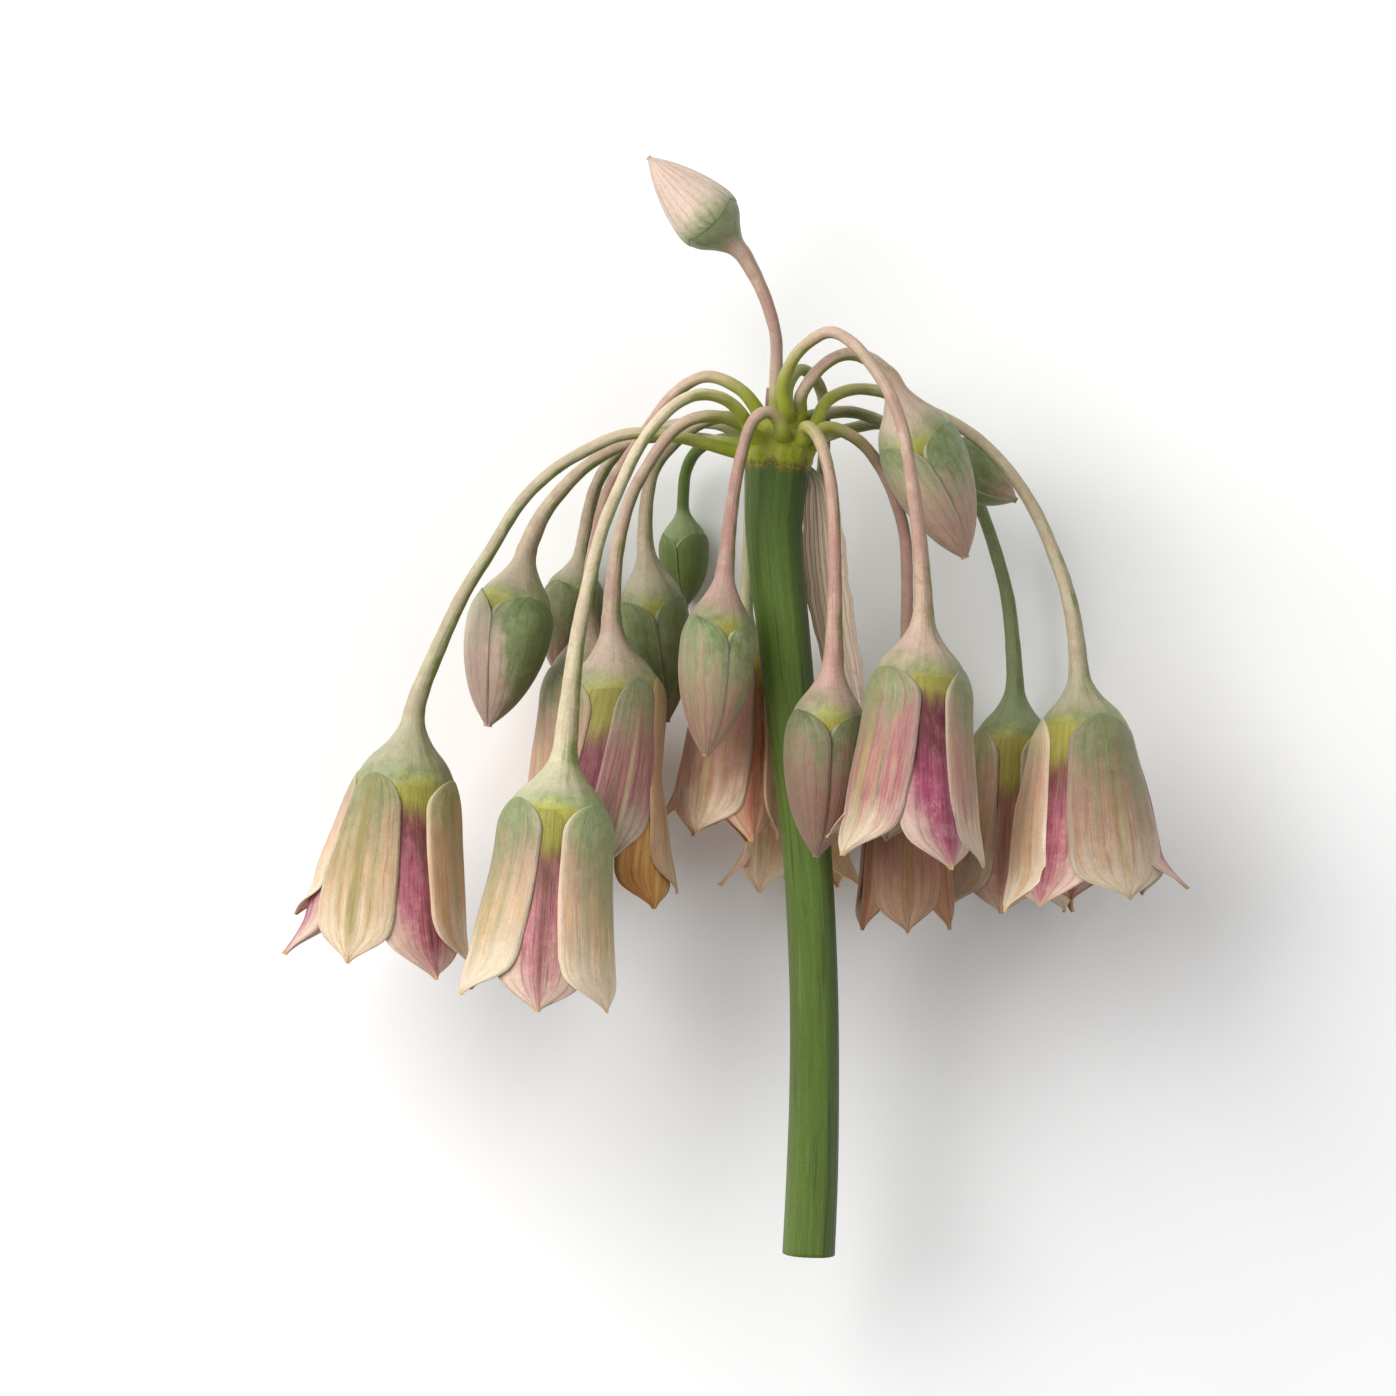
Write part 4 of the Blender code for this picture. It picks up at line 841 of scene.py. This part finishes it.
# papery bract: (x, y, z, half width) in mm from its root beside the hub to its tip. Its edges are ragged
# by shares of its half width, each with how many waves it has and where they start
bract = dict(
    line=[(7.0, 24.2, 18.9, 0.4), (8.15, 22.6, 18.2, 1.0), (8.55, 20.4, 17.5, 1.7), (8.80, 17.4, 16.9, 2.0),
          (9.10, 13.8, 16.5, 2.1), (9.60, 10.0, 16.2, 2.1), (10.30, 6.2, 16.0, 2.0), (11.20, 2.6, 15.8, 1.6),
          (12.10, -0.6, 15.7, 1.0), (12.90, -3.2, 15.7, 0.35)],
    ragged=[(0.04, 37, 0.0), (0.03, 71, 1.3)], arch=0.7, drop=0.2, ripple=0.10, thick=0.14,
    columns=25, seed=3.1,
)


def makeBract():
    line = smoothRoute(bract["line"], 10)
    half = line[:, 3:]
    u, v = np.meshgrid(np.linspace(-1, 1, bract["columns"]), np.linspace(0, 1, len(line)))
    ragged = sum(share * np.sin(v * waves + start) for share, waves, start in bract["ragged"])
    folds = (np.sin(u * 7 + v * 5) + 0.6 * np.sin(u * 15 - v * 9)) * (0.4 + 0.6 * np.abs(u))
    x = line[:, :1] + u * half * (1 + ragged * np.abs(u))
    y = line[:, 1:2] + 0 * u
    arched = bract["arch"] * half / half.max() * (1 - u ** 2)
    z = line[:, 2:3] + arched + bract["ripple"] * folds - bract["drop"]
    carried = dict(petalPlace=spreadOut(u.shape, v, u, bract["seed"]))
    grid = dict(points=np.stack([x, y, z], axis=2), carried=carried)
    settle(gridPiece("bract_blade", [grid], [bractSkin], thick=bract["thick"]), "spathe")


# a stalk with the flower base it swells into, in one skin. Under the petals the base turns inwards
# and makes the floor of the flower: skirt is how far below the shoulder and how far in. Lengths in mm
# on a full-size flower; sun is the direction towards the key lamp, whose side is painted lighter, and
# gapReach is in degrees
stalkShape = dict(
    radius=0.60, swellPower=5, sides=48, rings=90, rootSteps=(-0.75, 0.0, 0.9), rootSwell=0.34, rootRun=2.2,
    uneven=0.03, baseTop=0.25, baseRings=26, floor=0.02, lampDirection=(-0.50, 0.66, 0.56), gapReach=40.0,
    skirt=[(0.5, 0.02), (0.9, 0.06), (1.3, 0.115), (1.6, 0.16), (1.9, 0.24), (2.3, 0.45), (2.7, 1.0),
           (2.6, 1.8), (2.0, 2.8)],
)


def makeStalk(name, node, plan, scale, around, gapBearings):
    shape = stalkShape
    neck, along, up, right, _ = flowerAxes(plan, bellLength)
    hub = np.array(stem["hub"])
    start = [hub + rootDirection(plan) * (stem["hubReach"] + step) for step in shape["rootSteps"]]
    route, run = evenly(smoothRoute([*start, *plan["route"], neck]), shape["rings"])
    way = run / run[-1]
    radii = shape["radius"] + (around(0.0) - shape["radius"]) * way ** shape["swellPower"]
    radii = radii + shape["rootSwell"] * np.exp(-run / shape["rootRun"])
    radii = radii * (1 + shape["uneven"] * np.sin(run * 1.9) * np.sin(run * 0.7 + 1))
    # the base follows the flower's own curve to the shoulder, then tucks in under the outer petals
    shoulder = plan["shoulder"]
    base = np.linspace(shape["baseTop"], shoulder, shape["baseRings"])
    below, inward = np.array(shape["skirt"]).T
    line = np.vstack([route[:-1], neck + np.outer(base * scale, along)])
    for _ in range(3):                     # ease the turn where the stalk meets the base
        line[1:-1] = (line[:-2] + line[1:-1] * 2 + line[2:]) / 4
    points, outward = rings(line, np.concatenate([radii[:-1], around(base)]), shape["sides"])
    skirtRadii = around(shoulder + below) - inward
    tucked = [neck + along * at * scale + outward[-1] * radius
              for at, radius in zip(shoulder + below, skirtRadii)]
    points = np.concatenate([points, tucked])
    points[:, :, 2] = np.maximum(points[:, :, 2], shape["floor"])
    outward = np.concatenate([outward, np.repeat(outward[-1:], len(tucked), axis=0)])
    places = np.concatenate([base, shoulder + below])
    baseShare = places / shoulder + plan.get("capGreen", 0)
    wayAll = np.concatenate([way[:-1], np.ones(len(places))])
    baseAll = np.concatenate([0 * way[:-1], baseShare])
    runInCm = np.concatenate([run[:-1], run[-1] + places * scale]) / 10
    # how far each point faces the key lamp: the stalk finish paints that side lighter and the far side
    # darker, as painted light and shade
    lampFacing = 0.5 + 0.5 * (outward @ np.array(shape["lampDirection"]))
    bearing = np.degrees(np.arctan2(outward @ right, outward @ up))
    nearest = np.min([np.abs((bearing - g + 180) % 360 - 180) for g in gapBearings], axis=0)
    gapNear = plan.get("patch", 1) * ease(nearest, shape["gapReach"], 0)
    turn = circle(shape["sides"])
    pink, green, light = plan["stalk"]
    size = points.shape[:2]
    grid = dict(points=points, carried=dict(
        stalkPlace=spreadOut(size, wayAll[:, None], lampFacing, baseAll[:, None]),
        stalkTint=spreadOut(size, pink, green, gapNear),
        stalkTurn=spreadOut(size, np.cos(turn), np.sin(turn), runInCm[:, None]),
        petalTone=spreadOut(size, light, 0.0, 0.0)))
    settle(gridPiece(name, [grid], [stalkSkin], wrap=True, caps=True), node)


# 1 where a petal has its full width, falling to 0 in a round arch at its top
def arch(place, top, run):
    t = np.clip((place - top) / run, 0.0015, 1)
    return (1 - (1 - t) ** 2.05) ** (1 / 2.05)


# how far a petal's edge stands proud: not at all at the middle of its top, where it grows out of the base
def proud(shape, u, where, top, fromEdge):
    merged = (1 - np.abs(u) ** 1.5) * hill(where, top, shape["merge"])
    return shape["lip"] * (1 - 0.9 * merged) * (1 - np.exp(-fromEdge / shape["lipWidth"]))


# one petal as a grid of points; halfAt gives its half width in degrees and radiusAt its form
def petalPoints(axes, shape, top, end, halfAt, radiusAt, bearing, lean, lowest):
    neck, along, up, right, scale = axes
    s = (1 - np.cos(np.linspace(0, math.pi, shape["rows"]))) / 2
    u = np.linspace(-1, 1, shape["columns"])
    place = top + (end - top) * s
    half = halfAt(place)
    angle = np.radians(bearing - lean * (1 - s)[:, None] + half[:, None] * u[None, :])
    radius = radiusAt(s[:, None], u[None, :], place[:, None], half[:, None])
    out = spokes(angle, up, right) * radius[:, :, None]
    points = neck + (place * scale)[:, None, None] * along + out
    points[:, :, 2] = np.maximum(points[:, :, 2], lowest)
    return points, s[:, None], u[None, :]


def makeBell(place, plan):
    axes = flowerAxes(plan, bellLength)
    scale, width, shoulder = axes[4], plan["width"], plan["shoulder"]
    shape = bellShape
    lean = plan.get("lean", (0,) * 6)
    spread = plan.get("spread", (1,) * 6)
    sink = plan.get("sink", {})
    paintedLight = plan.get("paintedLight", {})
    squeezeAt, squeeze = plan.get("squeeze", (0, 0))

    def around(where):                     # the cup's radius
        sooner = where + plan.get("early", 0) * ease(where, shape["earlyEnd"], 0)
        broader = plan.get("broad", 0) * hill(where, *shape["broadPlace"])
        return readCurve(shape["cup"], sooner) * width + broader

    rnd = random.Random(place)
    layers = dict(outer=[], inner=[])
    for number, (bearing, extra, flare, pink, green, stripe, warm) in enumerate(plan["petals"]):
        outer = number % 2 == 0
        layer = shape["outer" if outer else "inner"]
        top = shoulder + layer["top"]
        end = shape["mouth"] + (gap + shape["notch"] + extra) / scale
        wave, wave2, twist = rnd.uniform(0, 6.28), rnd.uniform(0, 6.28), rnd.uniform(-0.05, 0.05)

        def halfAt(where):
            half = readCurve(layer["half"], end - where) * spread[number]
            return half * arch(where, top, shape["archRun"]) if outer else half

        def radiusAt(s, u, where, half):
            r = around(where)
            fromEdge = (1 - np.abs(u)) * np.radians(half) * r
            late = ease(s, shape["lateFrom"], 1)
            r = r + flare * late ** shape["flarePower"] + shape["mouthSwell"] * late * (1 - np.abs(u))
            facing = np.cos(np.radians(bearing - lean[number] * (1 - s) + half * u - squeezeAt))
            r = r * (1 - squeeze * np.clip(facing, 0, 1) ** 2 * ease(where, shoulder + 1, shoulder + 9))
            r = r - sink.get(number, 0) * np.clip(u, 0, 1) * (1 - late)
            if outer:
                r = r - shape["seat"] + proud(shape, u, where, top, fromEdge)
                r = r + shape["pouch"] * hill(where - top, *shape["pouchPlace"]) * (1 - u ** 2)
            else:
                # its middle swells outwards, nearly level with the outer petals
                swell = layer["swell"] * (1 - ease(np.abs(u), 0, layer["swellWidth"]) ** 2)
                swell = swell * ease(where - top, *layer["swellRise"])
                r = r - readCurve(layer["step"], where - top) * (1 - swell) - shape["curl"] * u ** 2
            r = r + shape["keel"] * hill(u, 0, layer["keelWidth"]) * ease(s, 0, layer["keelFrom"])
            # lengthwise folds, waved edges, a twist and a slow ripple, all growing towards the tip
            r = r + shape["fold"] * np.cos(u * 9.4 + wave) * s
            r = r + layer["edgeWave"] * s * np.abs(u) ** 3 * (0.9 + np.sin(s * 15 + wave + u * 2))
            return r + twist * u * s * 2 + shape["ripple"] * np.sin(s * 9 + wave2) * s

        points, s, u = petalPoints(axes, shape, top, end, halfAt, radiusAt, bearing, lean[number],
                                   layer["lowest"])
        # painted light and shade: the flower's lightness, and shine for single petals, lift petals lying in
        # shadow
        light, dull = plan["tone"]
        size = points.shape[:2]
        layers["outer" if outer else "inner"].append(dict(points=points, carried=dict(
            petalPlace=spreadOut(size, s, u, rnd.uniform(0, 9)),
            petalTint=spreadOut(size, pink, green + 0.35 * u * math.sin(math.radians(bearing)), stripe),
            petalTone=spreadOut(size, light * paintedLight.get(number, 1), warm, dull))))
    for name, skin in (("outer", outerPetalSkin), ("inner", innerPetalSkin)):
        piece = gridPiece(f"bell_{place}_{name}_petals", layers[name], [skin], thick=shape["thick"])
        settle(piece, f"bell_{place}_petals")
    gaps = [plan["petals"][i][0] - lean[i] for i in (1, 3, 5)]
    makeStalk(f"bell_{place}_stalk_and_base", f"bell_{place}_stalk", plan, scale, around, gaps)
    makeHeart(place, axes, width)


# ovary, style and stamens, hanging from the floor of the flower. Reach, height and radius in mm
heart = dict(
    floor=5.0, below=1.0, size=(0.1, 0.62), lobes=0.10,
    ovary=[(0.0, 1.1), (1.0, 1.75), (2.6, 1.9), (4.2, 1.3), (5.2, 0.5)],
    style=[(5.0, 0.34), (7.2, 0.26), (8.0, 0.33)],
    thread=[(0.9, 0.6, 0.34), (2.0, 3.2, 0.30), (2.7, 6.0, 0.20), (3.0, 7.6, 0.14)],
    anther=1.9, antherThick=0.42, antherDrop=0.2, sides=24, columnRings=18, threadRings=14,
)


def makeHeart(place, axes, width):
    neck, along, up, right, scale = axes
    least, growth = heart["size"]
    size = least + growth * width
    foot = neck + along * (gap + heart["floor"] * scale + heart["below"] + gap)
    sides, count = heart["sides"], heart["threadRings"]
    grids = []

    def add(points, skin):
        grids.append(dict(points=points, skin=skin, carried={}))

    def column(profile, lobes, skin):
        turn = circle(sides)
        heights = np.linspace(profile[0][0], profile[-1][0], heart["columnRings"])
        around = readCurve(profile, heights)[:, None] * (1 + lobes * np.cos(3 * turn))
        out = around[:, :, None] * spokes(turn, up, right)
        add(foot + size * (heights[:, None, None] * along + out), skin)

    column(heart["ovary"], heart["lobes"], 0)
    column(heart["style"], 0.0, 1)
    for number in range(6):
        out = spokes(math.radians(60 * number + 30), up, right)
        spots = [foot + size * (out * reach + along * height) for reach, height, _ in heart["thread"]]
        line, run = evenly(smoothRoute(spots, 6), count)
        widths = [p[2] * size for p in heart["thread"]]
        radii = np.interp(run / run[-1], np.linspace(0, 1, len(spots)), widths)
        add(rings(line, radii, sides)[0], 1)
        # the anthers tilt a little, each its own way
        tilt = along * 0.9 + out * (0.35 if number % 2 else -0.2)
        tilt = tilt + np.cross(along, out) * (0.3 if number % 3 else -0.3)
        tilt = tilt / np.linalg.norm(tilt)
        share = np.linspace(-0.98, 0.98, count)
        middle = spots[-1] + along * heart["antherDrop"] * size
        line = middle + np.outer(share * heart["anther"] / 2 * size, tilt)
        add(rings(line, heart["antherThick"] * size * (1 - share ** 2) ** 0.35, sides)[0], 2)
    skins = [ovarySkin, threadSkin, antherSkin]
    piece = gridPiece(f"bell_{place}_ovary_and_stamens", grids, skins, wrap=True, caps=True)
    settle(piece, f"bell_{place}_heart")


def makeBud(place, plan):
    axes = flowerAxes(plan, budLength)
    neck, along, up, right, scale = axes
    shape, size, shoulder = budShape, plan["size"], plan["shoulder"]
    top = shoulder - shape["overlap"]
    end = shape["tip"] + gap / scale
    rnd = random.Random(place)
    pink, green, stripe = plan["look"]
    light, warm, dull = plan["tone"]
    edge = size * plan.get("edge", 1)

    def bodyAt(where):
        slim = 1 - plan.get("taper", 0) * ease(where, 6, shape["tip"])
        return readCurve(shape["body"], where) * size * slim

    def halfAt(where):
        return shape["half"] * arch(where, top, plan.get("archRun", shape["archRun"]))

    grids = []
    for number in range(3):
        bearing = plan["turn"] + 120 * number
        wave = rnd.uniform(0, 6.28)

        def radiusAt(s, u, where, half):       # raised edges and overlap fade out towards the tip
            body = bodyAt(where)
            fromEdge = (1 - np.abs(u)) * np.radians(half) * body
            raised = proud(shape, u, where, shoulder, fromEdge) * np.clip((1.03 - s) * 4, 0, 1)
            lapped = shape["lap"] * u * np.abs(u) * np.clip((1.05 - s) * 3, 0, 1)
            r = body - shape["seat"] + (raised + lapped) * edge
            r = r + shape["keel"] * hill(u, 0, shape["keelWidth"]) * np.clip((1 - s) * 3, 0, 1)
            r = r - shape["curl"] * u ** 2 + shape["ripple"] * np.sin(s * 9 + wave) * (1 - s)
            return np.maximum(r, 0.05)

        points, s, u = petalPoints(axes, shape, top, end, halfAt, radiusAt, bearing, plan["lean"], 0.05)
        grid = points.shape[:2]
        # painted shade: each petal is greener and darker where it faces right, away from the key lamp, by
        # shade
        facing = np.sin(np.radians(bearing + shape["half"] * u))
        grids.append(dict(points=points, carried=dict(
            petalPlace=spreadOut(grid, s, u, rnd.uniform(0, 9)),
            petalTint=spreadOut(grid, pink, green + rnd.uniform(-0.08, 0.08) + plan.get("shade", 0) * facing,
                                stripe),
            budFrost=spreadOut(grid, plan.get("frost", 0) * ease(s, 0, 0.25), 0.0, 0.0),
            petalTone=spreadOut(grid, light * rnd.uniform(0.96, 1.04), warm, dull))))
    piece = gridPiece(f"bud_{place}_outer_petals", grids, [budSkin], thick=shape["thick"])
    settle(piece, f"bud_{place}_petals")

    # the closed inner petals, which show between the tops of the outer ones
    start, finish, rows, sides = shape["core"]
    where = np.linspace(shoulder + start, finish, rows)
    radius = bodyAt(where) * shape["coreShare"] - 0.12 * np.exp(-(where - shoulder - start) / 0.6)
    radius = radius + 0.14 * size * hill(where, shoulder + 2.0, 1.2)
    out = radius[:, None, None] * spokes(circle(sides), up, right)
    points = neck + (where * scale)[:, None, None] * along + out
    points[:, :, 2] = np.maximum(points[:, :, 2], 0.2)
    grid = points.shape[:2]
    core = dict(points=points, carried=dict(
        petalPlace=spreadOut(grid, ((where - where[0]) / 16)[:, None], 0.3, 4.0),
        petalTint=spreadOut(grid, 0.4, 0.7, 0.0),
        petalTone=spreadOut(grid, light, 0.0, 0.0)))
    piece = gridPiece(f"bud_{place}_inner_petals", [core], [innerPetalSkin], wrap=True, caps=True)
    settle(piece, f"bud_{place}_petals")
    gaps = [plan["turn"] - plan["lean"] + 60 + 120 * number for number in range(3)]
    makeStalk(f"bud_{place}_stalk_and_base", f"bud_{place}_stalk", plan, scale, bodyAt, gaps)


makeStem()
makeBract()
print("stem and bract made")
for place, plan in bells.items():
    makeBell(place, plan)
print("bells made")
for place, plan in buds.items():
    makeBud(place, plan)
print("buds made")

# camera: straight above the flower, as the photograph faces it. The frame is 139.6 mm wide at the stem
view = dict(x=-3.75, y=0.85, height=1020.5, stemHeight=20.5, frameWide=139.6, sensor=36.0)
cameraData = bpy.data.cameras.new("camera")
cameraData.sensor_width = view["sensor"]
cameraData.lens = view["sensor"] * (view["height"] - view["stemHeight"]) / view["frameWide"]
cameraData.clip_start = 0.05
cameraData.clip_end = 10.0
camera = added("camera", cameraData)
camera.location = (view["x"] * mm, view["y"] * mm, view["height"] * mm)
bpy.context.scene.camera = camera

# floor and light: big soft lamps, the key from the upper left of the photograph. A lamp is its name,
# place in metres, side in metres, power in watts and colour
studio = dict(
    floorSide=3.0, floorTone=0.94, sky=0.37,
    lamps=[("key", (-0.66, 0.46, 0.72), 0.90, 14.5, (1.0, 0.99, 0.98)),
           ("fill", (0.70, -0.25, 0.80), 0.80, 2.0, (0.96, 0.98, 1.0))],
)
half = studio["floorSide"] / 2
floorMesh = bpy.data.meshes.new("floor")
corners = [(-half, -half, 0), (half, -half, 0), (half, half, 0), (-half, half, 0)]
floorMesh.from_pydata(corners, [], [(0, 1, 2, 3)])
floor = added("floor", floorMesh)
floor.location.z = -0.1 * mm
floorPaint = bpy.data.materials.new("pale floor")
floorPaint.use_nodes = True
floorSkin = floorPaint.node_tree.nodes["Principled BSDF"]
floorSkin.inputs["Base Color"].default_value = (*[studio["floorTone"]] * 3, 1)
floorSkin.inputs["Roughness"].default_value = 0.9
floorMesh.materials.append(floorPaint)
for name, place, size, power, tint in studio["lamps"]:
    lampData = bpy.data.lights.new(name, "AREA")
    lampData.size = size
    lampData.energy = power
    lampData.color = tint
    lamp = added(name, lampData)
    lamp.location = place
    lamp.rotation_euler = (-Vector(place)).to_track_quat("-Z", "Y").to_euler()
world = bpy.data.worlds.new("soft room light")
world.use_nodes = True
world.node_tree.nodes["Background"].inputs["Color"].default_value = (1, 1, 1, 1)
world.node_tree.nodes["Background"].inputs["Strength"].default_value = studio["sky"]
bpy.context.scene.world = world
bpy.context.scene.view_settings.view_transform = "Standard"
print("camera, floor and light made")
